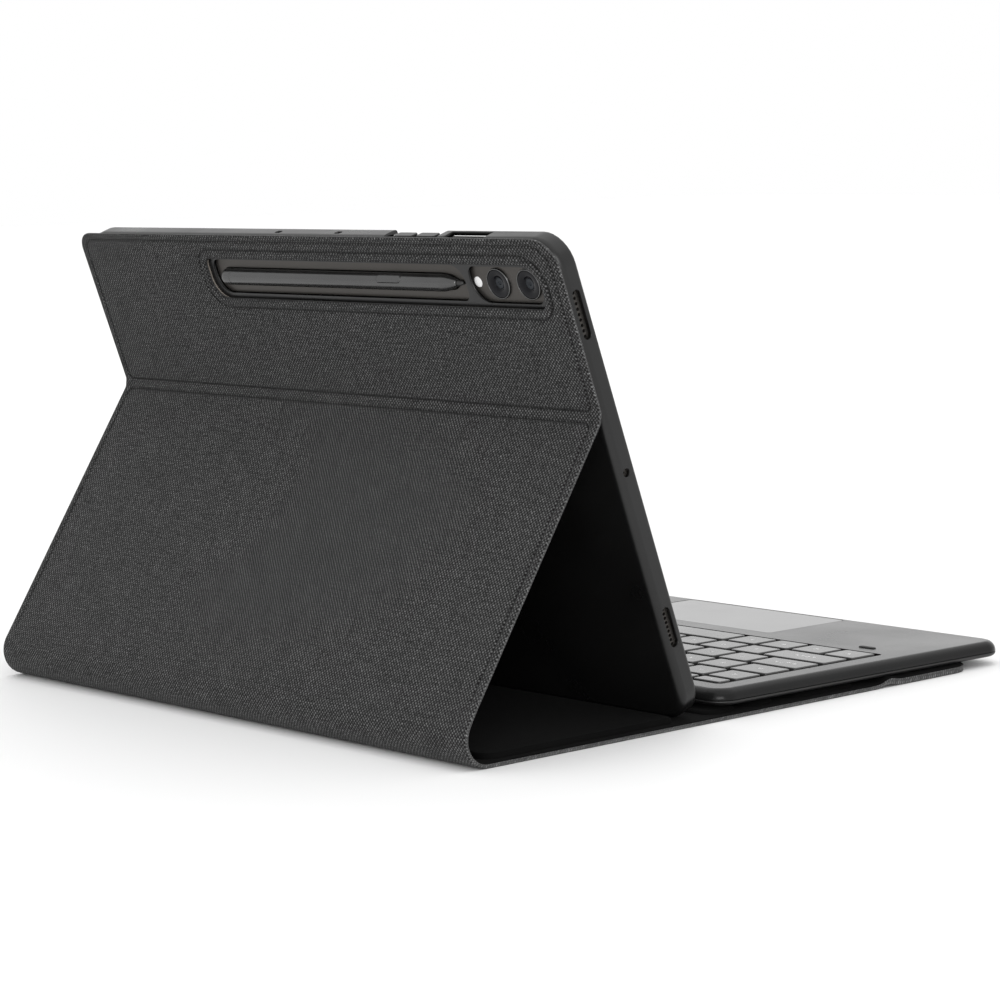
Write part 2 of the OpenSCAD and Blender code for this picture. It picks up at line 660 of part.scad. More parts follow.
// A group of keys: [row from the front, start in key widths, list of key widths]
function repeated(n, w) = [for (k = [0 : n - 1]) w];
function_row = 5;
function_keys = [function_row, 0, repeated(16, 15 / 16)];
number_keys = [4, 0, repeated(13, 1)];
backspace_keys = [4, 13, [2]];
tab_keys = [3, 0, [1.25]];
top_keys = [3, 1.25, concat(repeated(12, 1), [1.75])];
caps_keys = [2, 0, [1.5]];
home_keys = [2, 1.5, repeated(11, 1)];
enter_keys = [2, 12.5, [2.5]];
left_shift_keys = [1, 0, [2]];
bottom_keys = [1, 2, repeated(10, 1)];
right_shift_keys = [1, 12, [2]];
up_keys = [1, 14, [1]];
left_keys = [0, 0, repeated(4, 1)];
space_keys = [0, 4, [5]];
right_keys = [0, 9, repeated(3, 1)];
side_arrow_keys = [0, 12, repeated(3, 1)];
key_groups = [function_keys, number_keys, backspace_keys, tab_keys, top_keys, caps_keys, home_keys,
  enter_keys, left_shift_keys, bottom_keys, right_shift_keys, up_keys, left_keys, space_keys, right_keys,
  side_arrow_keys];

function total(widths, n) = n == 0 ? 0 : widths[n - 1] + total(widths, n - 1);
function key_mid_x(g, k) = (g[1] + total(g[2], k) + g[2][k] / 2) * key_pitch_x - field_w / 2;
function row_pitch(row) = row == function_row ? function_pitch : key_pitch_y;
function key_mid_y(row) = field_front + row * key_pitch_y + row_pitch(row) / 2;

module key_cap(w, d) difference() {
  union() {
    linear_extrude(key_t - 0.5) rounded_rect(w, d, 1.2);
    linear_extrude(key_t) rounded_rect(w - 0.8, d - 0.8, 0.9);
  }
  translate([0, 0, -eps]) linear_extrude(key_t - key_skin) rounded_rect(w - 2, d - 2, 0.5);
}

module keys(g) color(key_grey) on_keyboard() for (k = [0 : len(g[2]) - 1])
  translate([key_mid_x(g, k), key_mid_y(g[0]), keyboard_t + key_proud - key_t])
    key_cap(g[2][k] * key_pitch_x - key_gap, row_pitch(g[0]) - key_gap);

module arrow_keys() {
  keys(up_keys);
  keys(side_arrow_keys);
}

base_cover();
base_rear_board();
base_front_board();
base_lining();
stand_pad();
angle_stops();
base_magnets();
spine_cover();
spine_board();
leg_cover();
leg_board();
leg_lining();
upper_cover();
upper_board();
tray_shell();
tablet_housing();
tablet_glass();
camera_rings();
camera_lenses();
camera_flash();
card_tray();
power_key();
volume_key();
stylus_barrel();
stylus_nib();
stylus_cap();
stylus_button();
keyboard_deck();
keyboard_bottom();
key_plate();
key_membrane();
key_domes();
main_board();
battery_cells();
keyboard_feet();
screen_bumpers();
keyboard_magnets();
status_lights();
keyboard_usb_socket();
keyboard_screws();
trackpad();
power_switch();
keys(function_keys);  // function_row_keys
keys(number_keys);  // number_row_keys
keys(backspace_keys);  // backspace_key
keys(tab_keys);  // tab_key
keys(top_keys);  // top_letter_keys
keys(caps_keys);  // caps_key
keys(home_keys);  // home_letter_keys
keys(enter_keys);  // enter_key
keys(left_shift_keys);  // left_shift_key
keys(bottom_keys);  // bottom_letter_keys
keys(right_shift_keys);  // right_shift_key
keys(left_keys);  // left_modifier_keys
keys(space_keys);  // space_bar
keys(right_keys);  // right_modifier_keys
arrow_keys();
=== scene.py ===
import json
import math
import random

import bmesh
import bpy
from mathutils import Matrix, Vector, geometry

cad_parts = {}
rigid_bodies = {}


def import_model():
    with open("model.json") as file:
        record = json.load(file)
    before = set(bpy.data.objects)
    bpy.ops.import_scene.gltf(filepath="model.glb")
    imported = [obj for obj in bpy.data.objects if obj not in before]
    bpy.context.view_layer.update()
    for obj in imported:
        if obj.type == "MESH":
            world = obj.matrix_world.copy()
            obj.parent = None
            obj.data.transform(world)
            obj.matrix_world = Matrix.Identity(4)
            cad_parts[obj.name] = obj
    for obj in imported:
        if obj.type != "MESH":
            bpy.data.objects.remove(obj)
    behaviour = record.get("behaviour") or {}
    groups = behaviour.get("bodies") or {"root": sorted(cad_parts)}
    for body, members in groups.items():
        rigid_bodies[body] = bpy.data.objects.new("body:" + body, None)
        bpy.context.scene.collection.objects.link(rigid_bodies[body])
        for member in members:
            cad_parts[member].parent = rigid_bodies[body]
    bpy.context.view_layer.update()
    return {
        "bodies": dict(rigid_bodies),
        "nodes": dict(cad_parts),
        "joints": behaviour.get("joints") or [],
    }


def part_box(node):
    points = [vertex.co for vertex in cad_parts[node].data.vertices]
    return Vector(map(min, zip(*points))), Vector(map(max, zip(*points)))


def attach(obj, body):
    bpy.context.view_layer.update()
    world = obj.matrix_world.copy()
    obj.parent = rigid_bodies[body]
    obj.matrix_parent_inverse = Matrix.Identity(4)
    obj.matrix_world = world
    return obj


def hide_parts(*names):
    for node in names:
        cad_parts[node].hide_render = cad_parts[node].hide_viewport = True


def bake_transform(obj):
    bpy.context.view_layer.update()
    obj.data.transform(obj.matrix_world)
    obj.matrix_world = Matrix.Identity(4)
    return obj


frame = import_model()

MM = 0.001
X, Y, Z = Vector((1, 0, 0)), Vector((0, 1, 0)), Vector((0, 0, 1))
JOINTS = {joint["name"]: joint for joint in frame["joints"]}

# ------------------------------------------------------------------ places on the object


def pivot(joint):
    return Vector(JOINTS[joint]["pos_m"])


def axis(joint):
    return Vector(JOINTS[joint]["axis"]).normalized()


class Place:
    """A millimetre frame on the object: across it, along a face, and out of that face."""

    def __init__(self, origin, along, out, across=X):
        axes = Matrix((across, along, out)).transposed().to_4x4()
        self.matrix = Matrix.Translation(origin) @ axes @ Matrix.Scale(MM, 4)
        self.inverse = self.matrix.inverted()

    def at(self, x, v, n):
        return self.matrix @ Vector((x, v, n))

    def span(self, node):
        """The lowest and highest value of each local coordinate of a CAD node."""
        points = [self.inverse @ v.co for v in frame["nodes"][node].data.vertices]
        return [(min(p[i] for p in points), max(p[i] for p in points)) for i in range(3)]

    def solids(self, node):
        """The local (low, high) corners of each separate solid of a CAD node."""
        bm = bmesh.new()
        bm.from_mesh(frame["nodes"][node].data)
        bmesh.ops.remove_doubles(bm, verts=bm.verts, dist=1e-6)
        left, boxes = set(bm.verts), []
        while left:
            group, front = [], [left.pop()]
            while front:
                vert = front.pop()
                group.append(self.inverse @ vert.co)
                near = {edge.other_vert(vert) for edge in vert.link_edges} & left
                left -= near
                front.extend(near)
            low = [min(p[i] for p in group) for i in range(3)]
            high = [max(p[i] for p in group) for i in range(3)]
            boxes.append((low, high))
        bm.free()
        return sorted(boxes)


def seated(node, along, out):
    """The place whose origin is at a node's low end and inner face, in the middle of the object."""
    rough = Place(Vector(), along, out)
    _, v, n = rough.span(node)
    return Place(rough.at(0, v[0], n[0]), along, out)


tray_up, tray_out = -axis("power_key_press"), -axis("tablet_slide")
press_out = -axis("stylus_button_press")
key_back, key_up = axis("power_switch_slide"), -axis("space_bar_press")
TRAY = seated("tray_shell", tray_up, tray_out)
BOARD = seated("keyboard_bottom", key_back, key_up)
TABLE = Place(Vector(), Y, Z)

# ------------------------------------------------------------------ outlines


def arc(cx, cy, r, start, sweep, steps):
    """Points of an arc, in degrees, both ends included."""
    angles = [math.radians(start + sweep * k / steps) for k in range(steps + 1)]
    return [(cx + r * math.cos(a), cy + r * math.sin(a)) for a in angles]


def leaf(box, radii, grow=0.0, steps=8):
    """A rectangle (x0, x1, y0, y1) with a radius for each corner, anticlockwise from low x and low y."""
    x0, x1, y0, y1 = box[0] - grow, box[1] + grow, box[2] - grow, box[3] + grow
    radii = [radii] * 4 if isinstance(radii, (int, float)) else radii
    a, b, c, d = [max(r + grow, 0.02) for r in radii]
    points = arc(x0 + a, y0 + a, a, 180, 90, steps)
    points += arc(x1 - b, y0 + b, b, 270, 90, steps)
    points += arc(x1 - c, y1 - c, c, 0, 90, steps)
    return points + arc(x0 + d, y1 - d, d, 90, 90, steps)


def circle(cx, cy, r, steps=32):
    return arc(cx, cy, r, 0, 360 - 360 / steps, steps - 1)


def subdivided(points, pitch):
    """A closed outline with no side longer than pitch."""
    fine = []
    for a, b in zip(points, points[1:] + points[:1]):
        a, b = Vector(a), Vector(b)
        count = max(1, math.ceil((b - a).length / pitch))
        fine += [tuple(a.lerp(b, k / count)) for k in range(count)]
    return fine


def leaf_distance(x, y, box, radii):
    """Distance from a point to the outline that leaf draws, below zero inside it."""
    cx, cy = (box[0] + box[1]) / 2, (box[2] + box[3]) / 2
    corner = (0 if x < cx else 1) if y < cy else (3 if x < cx else 2)
    r = radii[corner] if isinstance(radii, (list, tuple)) else radii
    dx = abs(x - cx) - (box[1] - box[0]) / 2 + r
    dy = abs(y - cy) - (box[3] - box[2]) / 2 + r
    return min(max(dx, dy), 0) + math.hypot(max(dx, 0), max(dy, 0)) - r


def rounding(width, height, steps=6):
    """A quarter ellipse as (inset, rise) pairs, upright at first and level at the end."""
    angles = [math.pi / 2 * k / steps for k in range(steps + 1)]
    return [(width * (1 - math.cos(a)), height * math.sin(a)) for a in angles]


# ------------------------------------------------------------------ mesh building


class Shape:
    """A mesh drawn in local coordinates, out of rings of vertices."""

    def __init__(self):
        self.bm = bmesh.new()

    def ring(self, outline, n):
        return [self.bm.verts.new((x, y, n)) for x, y in outline]

    def wall(self, a, b, material=0):
        for i in range(len(a)):
            j = (i + 1) % len(a)
            self.bm.faces.new((a[i], a[j], b[j], b[i])).material_index = material

    def loft(self, rings):
        for a, b in zip(rings, rings[1:]):
            self.wall(a, b)

    def cap(self, ring, material=0):
        self.bm.faces.new(ring).material_index = material

    def closed(self, rings, material=0):
        self.loft(rings)
        self.cap(rings[0], material)
        self.cap(rings[-1], material)

    def stack(self, box, radii, edge, steps=8):
        """Rings of one leaf outline, from (inset, n) pairs."""
        return [self.ring(leaf(box, radii, -inset, steps), n) for inset, n in edge]

    def fill(self, *rings):
        """Triangles between an outer ring and the rings inside it."""
        edges = []
        for ring in rings:
            for a, b in zip(ring, ring[1:] + ring[:1]):
                edges.append(self.bm.edges.get((a, b)) or self.bm.edges.new((a, b)))
        bmesh.ops.triangle_fill(self.bm, use_beauty=True, edges=edges, normal=(0, 0, 1))

    def plate(self, outline, base, top, soft=0.2, bottom_soft=0.0, material=0):
        """A closed plate from base to top; outline(grow) draws it, and soft rounds its edges."""
        rings = []
        if bottom_soft:
            for inset, rise in reversed(rounding(bottom_soft, bottom_soft, 3)):
                rings.append(self.ring(outline(-inset), base + bottom_soft - rise))
        else:
            rings.append(self.ring(outline(0), base))
        for inset, rise in rounding(soft, soft, 3):
            rings.append(self.ring(outline(-inset), top - soft + rise))
        self.closed(rings, material)

    def turned(self, cx, cy, profile, steps=48):
        """A solid of revolution about the out axis; profile is (radius, n) pairs, closed on the axis."""
        self.closed([self.ring(circle(cx, cy, max(r, 0.01), steps), n) for r, n in profile])

    def build(self, name, place, materials):
        bmesh.ops.transform(self.bm, matrix=place.matrix, verts=self.bm.verts)
        bmesh.ops.recalc_face_normals(self.bm, faces=self.bm.faces)
        mesh = bpy.data.meshes.new(name)
        self.bm.to_mesh(mesh)
        self.bm.free()
        return as_object(name, mesh, materials)


def as_object(name, mesh, materials):
    obj = bpy.data.objects.new(name, mesh)
    bpy.context.scene.collection.objects.link(obj)
    for material in materials if isinstance(materials, (list, tuple)) else [materials]:
        mesh.materials.append(material)
    mesh.shade_smooth()
    return obj


def rides(obj, body, slot, *nodes):
    """Hands a rigid piece to its body; its flat faces stay flat beside their rounded edges."""
    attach(obj, body)
    if nodes:
        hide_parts(*nodes)
    obj.modifiers.new("normals", "WEIGHTED_NORMAL").weight = 90


def carve(obj, cutters):
    """Cuts the cutters out of a piece for good."""
    for cutter in cutters:
        cut = obj.modifiers.new("cut", "BOOLEAN")
        cut.operation = "DIFFERENCE"
        cut.solver = "EXACT"
        cut.object = cutter
    solid = obj.evaluated_get(bpy.context.evaluated_depsgraph_get())
    mesh = bpy.data.meshes.new_from_object(solid)
    obj.modifiers.clear()
    obj.data = mesh
    for cutter in cutters:
        bpy.data.objects.remove(cutter)
    return obj


# ------------------------------------------------------------------ materials


class Paint:
    """A node material round one Principled shader."""

    def __init__(self, name, **values):
        self.material = bpy.data.materials.new(name)
        self.material.use_nodes = True
        self.tree = self.material.node_tree
        self.shader = self.tree.nodes["Principled BSDF"]
        for socket, value in values.items():
            self.shader.inputs[socket.replace("_", " ")].default_value = value

    def node(self, kind, inputs=None, **settings):
        """A shader node with its inputs set or linked."""
        made = self.tree.nodes.new("ShaderNode" + kind)
        for key, value in settings.items():
            setattr(made, key, value)
        for key, value in (inputs or {}).items():
            if isinstance(value, bpy.types.NodeSocket):
                self.tree.links.new(value, made.inputs[key])
            else:
                made.inputs[key].default_value = value
        return made

    def maths(self, operation, a, b=0.0):
        return self.node("Math", {0: a, 1: b}, operation=operation).outputs[0]

    def where(self, source, scale):
        """Coordinates: the model's own in metres, or a sheet's flat pattern in millimetres."""
        if source == "pattern":
            found = self.node("UVMap", uv_map="pattern").outputs[0]
        else:
            found = self.node("TexCoord").outputs["Object"]
        return self.node("Mapping", {"Vector": found, "Scale": scale}).outputs[0]

    def noise(self, where, scale, detail=3.0, rough=0.55):
        inputs = {"Vector": where, "Scale": scale, "Detail": detail, "Roughness": rough}
        return self.node("TexNoise", inputs).outputs[0]

    def levels(self, value, low, high, to_low=0.0, to_high=1.0):
        inputs = {"Value": value, 1: low, 2: high, 3: to_low, 4: to_high}
        return self.node("MapRange", inputs).outputs[0]

    def mixed(self, factor, dark, light):
        made = self.node("Mix", {0: factor}, data_type="RGBA")
        for socket, value in ((made.inputs[6], dark), (made.inputs[7], light)):
            if isinstance(value, bpy.types.NodeSocket):
                self.tree.links.new(value, socket)
            else:
                socket.default_value = (*value, 1)
        return made.outputs[2]

    def to(self, socket, output):
        self.tree.links.new(output, self.shader.inputs[socket])

    def bumped(self, height, distance, strength=1.0):
        inputs = {"Height": height, "Distance": distance, "Strength": strength}
        self.to("Normal", self.node("Bump", inputs).outputs[0])


def grey(value, warmth=0.0):
    return (value * (1 + warmth), value, value * (1 - warmth))


def moulded(name, dark, light, rough, grain, relief=0.00002, cells=0.0, **values):
    """Plastic, rubber or metal: two close shades, uneven gloss and a fine surface grain, in metres."""
    paint = Paint(name, **values)
    where = paint.where("object", (1, 1, 1))
    cloud = paint.noise(where, 28, 4)
    fine = paint.noise(where, 1 / grain, 2)
    shade = paint.levels(paint.maths("ADD", cloud, paint.maths("MULTIPLY", fine, 0.5)), 0.45, 1.05)
    paint.to("Base Color", paint.mixed(shade, dark, light))
    paint.to("Roughness", paint.levels(cloud, 0.3, 0.7, rough[0], rough[1]))
    if cells:
        pits = paint.node("TexVoronoi", {"Vector": where, "Scale": 1 / cells}).outputs[0]
        fine = paint.maths("ADD", fine, pits)
    paint.bumped(fine, relief)
    return paint.material


def woven(name, dark, light, pitch):
    """Melange cloth: staggered pale crossings on a dark ground, brighter where their yarns are; painted
    shade darkens it along the pressed grooves and the window's rim.
    """
    paint = Paint(name, Sheen_Weight=0.05, Sheen_Roughness=0.5, Specular_IOR_Level=0.15)
    flat = paint.where("pattern", (1, 1, 1))
    turn = 2 * math.pi / pitch
    axes = paint.node("SeparateXYZ", {0: flat})
    drift = paint.maths("MULTIPLY", paint.noise(flat, 0.15, 2), 0.8)
    wobble = paint.maths("ADD", drift, paint.maths("MULTIPLY", paint.noise(flat, 0.7, 2), 3.2))
    across = paint.maths("ADD", paint.maths("MULTIPLY", axes.outputs[0], turn), wobble)
    along = paint.maths("ADD", paint.maths("MULTIPLY", axes.outputs[1], turn), wobble)
    dots = paint.maths("MULTIPLY", paint.maths("SINE", across), paint.maths("SINE", along))
    crossings = paint.levels(dots, -0.1, 0.85)
    warp = paint.noise(paint.where("pattern", (1.6, 0.08, 1)), 1.0, 2)
    weft = paint.noise(paint.where("pattern", (0.08, 1.6, 1)), 1.0, 2)
    fleck = paint.noise(flat, 1.1, 2, 0.7)
    yarns = paint.maths("ADD", paint.maths("MULTIPLY", warp, 0.5), paint.maths("MULTIPLY", weft, 0.5))
    own = paint.maths("ADD", paint.maths("MULTIPLY", yarns, 0.45), paint.maths("MULTIPLY", fleck, 0.55))
    own = paint.levels(own, 0.42, 0.64)
    lit = paint.maths("MULTIPLY", crossings, paint.levels(own, 0, 1, 0.2, 1.05))
    tone = paint.maths("ADD", paint.maths("MULTIPLY", lit, 0.9), paint.maths("MULTIPLY", own, 0.1))
    # painted shade: the cloth is darkened down to a quarter along the pressed grooves and in a painted
    # shadow line along the window's rim, where shade falls
    pressed = paint.node("Attribute", {}, attribute_name="pressed").outputs["Fac"]
    tone = paint.maths("MULTIPLY", tone, paint.levels(pressed, 0, 1, 1.0, 0.25))
    paint.to("Base Color", paint.mixed(tone, dark, light))
    paint.to("Roughness", paint.levels(tone, 0, 1, 0.95, 0.8))
    paint.bumped(paint.maths("ADD", crossings, yarns), 0.00012, 0.7)
    return paint.material


def napped(name, dark, light, nap):
    """Microfibre: short brushed pile with soft patches."""
    paint = Paint(name, Sheen_Weight=0.01, Sheen_Roughness=0.4, Specular_IOR_Level=0.04)
    where = paint.where("object", (1, 1, 1))
    patches = paint.noise(where, 35, 3)
    pile = paint.noise(where, 1 / nap, 3, 0.7)
    tone = paint.maths("ADD", paint.maths("MULTIPLY", patches, 0.6), paint.maths("MULTIPLY", pile, 0.6))
    paint.to("Base Color", paint.mixed(paint.levels(tone, 0.4, 0.8), dark, light))
    paint.to("Roughness", paint.levels(patches, 0.3, 0.7, 0.85, 0.98))
    paint.bumped(pile, 0.00008)
    return paint.material


def clear(name, dark, light, rough, **values):
    """Polished glass or lens: a dark body under gloss with faint smears."""
    paint = Paint(name, **values)
    smears = paint.noise(paint.where("object", (1, 0.4, 1)), 30, 5, 0.6)
    paint.to("Base Color", paint.mixed(paint.levels(smears, 0.35, 0.65), dark, light))
    paint.to("Roughness", paint.levels(smears, 0.4, 0.7, rough[0], rough[1]))
    return paint.material


def circuit(name):
    """Solder mask over tracks, with bright pads."""
    paint = Paint(name, Specular_IOR_Level=0.5)
    where = paint.where("object", (1, 1, 1))
    tracks = paint.node("TexBrick", {"Vector": where, "Scale": 260.0, "Mortar Size": 0.03})
    tracks.inputs["Color1"].default_value = (0.012, 0.09, 0.035, 1)
    tracks.inputs["Color2"].default_value = (0.016, 0.12, 0.05, 1)
    tracks.inputs["Mortar"].default_value = (0.03, 0.2, 0.08, 1)
    pads = paint.node("TexVoronoi", {"Vector": where, "Scale": 420.0}).outputs[0]
    shown = paint.levels(pads, 0.16, 0.12)
    paint.to("Base Color", paint.mixed(shown, tracks.outputs[0], (0.6, 0.52, 0.3)))
    paint.to("Roughness", paint.levels(pads, 0, 0.5, 0.3, 0.5))
    paint.bumped(pads, 0.00005)
    return paint.material


FABRIC = woven("fabric", grey(0.004), grey(0.185), 1.6)
FABRIC_EDGE = woven("fabric_edge", grey(0.03), grey(0.26), 1.2)
LINING = napped("lining", grey(0.002), grey(0.006), 0.0003)
PADS = napped("pad_microfibre", grey(0.002), grey(0.005), 0.00025)
BACKING = moulded("grey_board", grey(0.14, 0.12), grey(0.26, 0.12), (0.85, 0.95), 0.0006, 0.00006)
TRAY_PLASTIC = moulded("tray_plastic", grey(0.004), grey(0.007), (0.26, 0.36), 0.00035, 0.00001,
                       Specular_IOR_Level=0.4)
TABLET_METAL = moulded("tablet_metal", grey(0.050, 0.08), grey(0.066, 0.08), (0.36, 0.46), 0.00018,
                       0.000006, Metallic=0.75)
EDGE_METAL = moulded("lens_rim", grey(0.10), grey(0.14), (0.22, 0.32), 0.0002, 0.000004, Metallic=1.0)
KEY_METAL = moulded("side_key_metal", grey(0.016), grey(0.026), (0.3, 0.4), 0.0002, 0.000006, Metallic=0.4)
SCREEN = clear("screen_glass", grey(0.002), grey(0.004), (0.03, 0.09))
DISPLAY = clear("display", (0.003, 0.003, 0.004), (0.005, 0.005, 0.007), (0.04, 0.1))
IRIS = moulded("lens_heart", (0.006, 0.008, 0.011), (0.010, 0.013, 0.017), (0.25, 0.35), 0.0004, 0.00001,
               Specular_IOR_Level=0.25)
LENS = clear("lens_glass", (0.002, 0.002, 0.003), (0.005, 0.005, 0.007), (0.05, 0.09),
             Specular_IOR_Level=0.15)
FLASH = moulded("flash_lens", grey(0.6), grey(0.8), (0.25, 0.35), 0.0004, 0.00003, cells=0.0005)
STYLUS = moulded("stylus_satin", grey(0.085), grey(0.10), (0.2, 0.26), 0.00025, 0.000001, Metallic=0.85)
NIB = moulded("nib_polymer", grey(0.012), grey(0.02), (0.5, 0.6), 0.0003)
DECK = moulded("deck_satin", grey(0.006), grey(0.009), (0.22, 0.28), 0.00022, 0.000006,
               Specular_IOR_Level=0.17)
BOTTOM = moulded("bottom_satin", grey(0.005), grey(0.008), (0.4, 0.5), 0.0003, 0.000012)
TRACKPAD = moulded("trackpad_satin", grey(0.009), grey(0.012), (0.12, 0.17), 0.0002, 0.000003,
                   Specular_IOR_Level=0.45)
KEYCAP = moulded("keycap", grey(0.03), grey(0.04), (0.22, 0.28), 0.0003, 0.000006)
LEGEND = moulded("legend_ink", grey(0.75), grey(0.85), (0.5, 0.6), 0.0005)
STEEL = moulded("plain_steel", grey(0.42), grey(0.55), (0.28, 0.42), 0.0004, 0.00001, Metallic=1.0)
BLACK_STEEL = moulded("blackened_plate", grey(0.006), grey(0.01), (0.5, 0.6), 0.0003)
FILM = moulded("membrane_film", grey(0.5, 0.05), grey(0.6, 0.05), (0.35, 0.45), 0.0006)
SILICONE = moulded("silicone", grey(0.6), grey(0.7), (0.5, 0.6), 0.0003)
FOIL = moulded("battery_foil", grey(0.45), grey(0.6), (0.25, 0.4), 0.0008, 0.00008, Metallic=0.9)
RUBBER = moulded("rubber", grey(0.008), grey(0.014), (0.7, 0.85), 0.00025, 0.00003)
LIGHT_PIPE = clear("light_pipe", (0.45, 0.55, 0.45), (0.6, 0.7, 0.6), (0.2, 0.3))
SWITCH = moulded("switch_plastic", grey(0.02), grey(0.03), (0.4, 0.5), 0.0003)
CIRCUIT = circuit("circuit_board")

# ------------------------------------------------------------------ the cover, seen from the side


class Path:
    """Straight runs joined by arcs, in the plane across the object; s is the length from its start."""

    def __init__(self, corners, radii):
        corners = [Vector(corner) for corner in corners]
        legs = [b - a for a, b in zip(corners, corners[1:])]
        heading = [math.atan2(leg.y, leg.x) for leg in legs]
        turns = [b - a for a, b in zip(heading, heading[1:])]
        cuts = [0, *[r * math.tan(abs(t) / 2) for r, t in zip(radii, turns)], 0]
        self.runs, self.creases, s = [], [], 0.0
        for k, leg in enumerate(legs):
            start = corners[k] + leg.normalized() * cuts[k]
            length = leg.length - cuts[k] - cuts[k + 1]
            self.runs.append((s, length, start, heading[k], 0.0))
            s += length
            if k < len(turns):
                bend = radii[k] * abs(turns[k])
                begin = start + leg.normalized() * length
                self.runs.append((s, bend, begin, heading[k], turns[k]))
                self.creases.append((s, s + bend / 2, s + bend))
                s += bend
        self.length = s

    def at(self, s):
        """The (y, z) point and the heading there."""
        for begin, length, start, heading, turn in self.runs:
            if s <= begin + length + 1e-9:
                break
        share = max(s - begin, 0)
        if not turn:
            return start + share * Vector((math.cos(heading), math.sin(heading))), heading
        radius = length / turn
        now = heading + turn * share / length
        step = Vector((math.sin(now) - math.sin(heading), math.cos(heading) - math.cos(now)))
        return start + radius * step, now

    def place(self, x, s, depth):
        """A point of the cover, depth inside its fabric face, in metres."""
        point, heading = self.at(min(max(s, 0), self.length))
        inward = Vector((-math.sin(heading), math.cos(heading)))
        point = point + inward * depth
        return Vector((x, point.x, point.y)) * MM


def side_point(joint):
    """Where a joint's axis passes, seen from the side, in millimetres."""
    where = pivot(joint) / MM
    return (where.y, where.z)


base_low, base_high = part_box("base_cover")
_, top_v, top_n = TRAY.span("upper_cover")
cover_top = TRAY.at(0, top_v[1], top_n[1]) / MM
HALF = base_high.x / MM
FOLD_RADIUS = 4.6
spine_start, spine_end = side_point("spine_crease"), side_point("leg_crease")
fold_at = side_point("tray_fold")
leg_slope = math.atan2(fold_at[1] - spine_end[1], fold_at[0] - spine_end[0])
SPINE_RADIUS = spine_end[1] / (1 - math.cos(leg_slope))
spine_corner = (spine_start[0] + SPINE_RADIUS * math.tan(leg_slope / 2), 0)
COVER = Path([(base_low.y / MM, 0), spine_corner, fold_at, (cover_top.y, cover_top.z)],
             [SPINE_RADIUS, FOLD_RADIUS])
roll, fold_bend = COVER.creases
TOP = COVER.length
# s of a height up the tray, on the upper panel
TRAY_ZERO = TOP - top_v[1]

WINDOW = (-134.0, 62.0, 162.7 + TRAY_ZERO, 179.3 + TRAY_ZERO)
WINDOW_RADII = (3.5, 8.5, 3.5, 9.0)
BASE_CORNER, CAMERA_CORNER, PLAIN_CORNER = 12.0, 12.0, 7.0
EDGE_GROOVE, TOP_GROOVE, WINDOW_GROOVE = 3.8, 2.6, 3.7
LEG_PANEL = (-HALF + EDGE_GROOVE, HALF - EDGE_GROOVE, roll[2] + 0.5, fold_bend[0])
UPPER_PANEL = (-HALF + EDGE_GROOVE, HALF - EDGE_GROOVE, fold_bend[2], TOP - TOP_GROOVE)
PANEL_RADII = (7.0, 7.0, 3.5, 3.5)
UPPER_RADII = (3.0, 3.0, 5.0, 9.0)
OUTLINE = (-HALF, HALF, 0.0, TOP)
OUTLINE_RADII = (BASE_CORNER, BASE_CORNER, PLAIN_CORNER, CAMERA_CORNER)
WAVE_FROM_FRONT, WAVE_RISE, WAVE_WIDTH = 51.0, 0.9, 4.5
GROOVE_DEPTH = 0.62


def groove(distance, depth, width=0.5):
    return depth * math.exp(-((distance / width) ** 2))


def fold_line(s):
    """Grooves are pressed deepest along the fold."""
    return smooth_step(abs(s - fold_bend[1]), 6, 3)


def fabric_depth(x, s):
    """How far the pressed fabric lies below its plain face."""
    window = leaf_distance(x, s, WINDOW, WINDOW_RADII)
    depth = GROOVE_DEPTH * pressed_line(x, s) - groove(window - WINDOW_GROOVE / 2 - 0.2, 0.4, 1.2)
    depth -= groove(s - fold_bend[1], 0.35, 1.4)
    edge = min(-leaf_distance(x, s, OUTLINE, OUTLINE_RADII), window)
    return depth + 0.28 * max(0.0, 1 - max(edge, 0) / 0.6) ** 2 - base_wave(s)


def pressed_line(x, s):
    """1 at the bottom of a pressed line round a panel or the window, 0 away from it."""
    leg = groove(leaf_distance(x, s, LEG_PANEL, PANEL_RADII), 0.75 + 0.25 * fold_line(s))
    leg *= 1 - 0.8 * smooth_step(s, LEG_PANEL[2] + 12, LEG_PANEL[2])
    upper = groove(leaf_distance(x, s, UPPER_PANEL, UPPER_RADII), 0.75 + 0.25 * fold_line(s))
    window = groove(leaf_distance(x, s, WINDOW, WINDOW_RADII) - WINDOW_GROOVE, 0.9)
    return min(leg + upper + window, 1.0)


def base_wave(s):
    """The base arches a little off the table where its front board begins."""
    return -WAVE_RISE * math.exp(-(((s - WAVE_FROM_FRONT) / WAVE_WIDTH) ** 2))


FABRIC_T, LINING_T = 0.62, 0.4
REAR_T, FRONT_T, LEG_T, SPINE_T = 1.8, 2.9, 1.5, 1.7
STEP_FROM_FRONT = (49.5, 55.5)


def smooth_step(value, low, high):
    share = min(max((value - low) / (high - low), 0), 1)
    return share * share * (3 - 2 * share)


def rim_thickness(s):
    """The fabric's own thickness where it is turned and pressed along the cover's edge."""
    front = 1 - smooth_step(s, *STEP_FROM_FRONT)
    raised = 0.7 + 0.9 * front
    return FABRIC_T + raised * (1 - smooth_step(s, roll[2] - 4, roll[2] + 6) * 0.7)


def under_fabric(x, s):
    inside = -leaf_distance(x, s, OUTLINE, OUTLINE_RADII)
    thick = rim_thickness(s) + (FABRIC_T - rim_thickness(s)) * smooth_step(inside, 0.8, 3.0)
    return fabric_depth(x, s) + thick


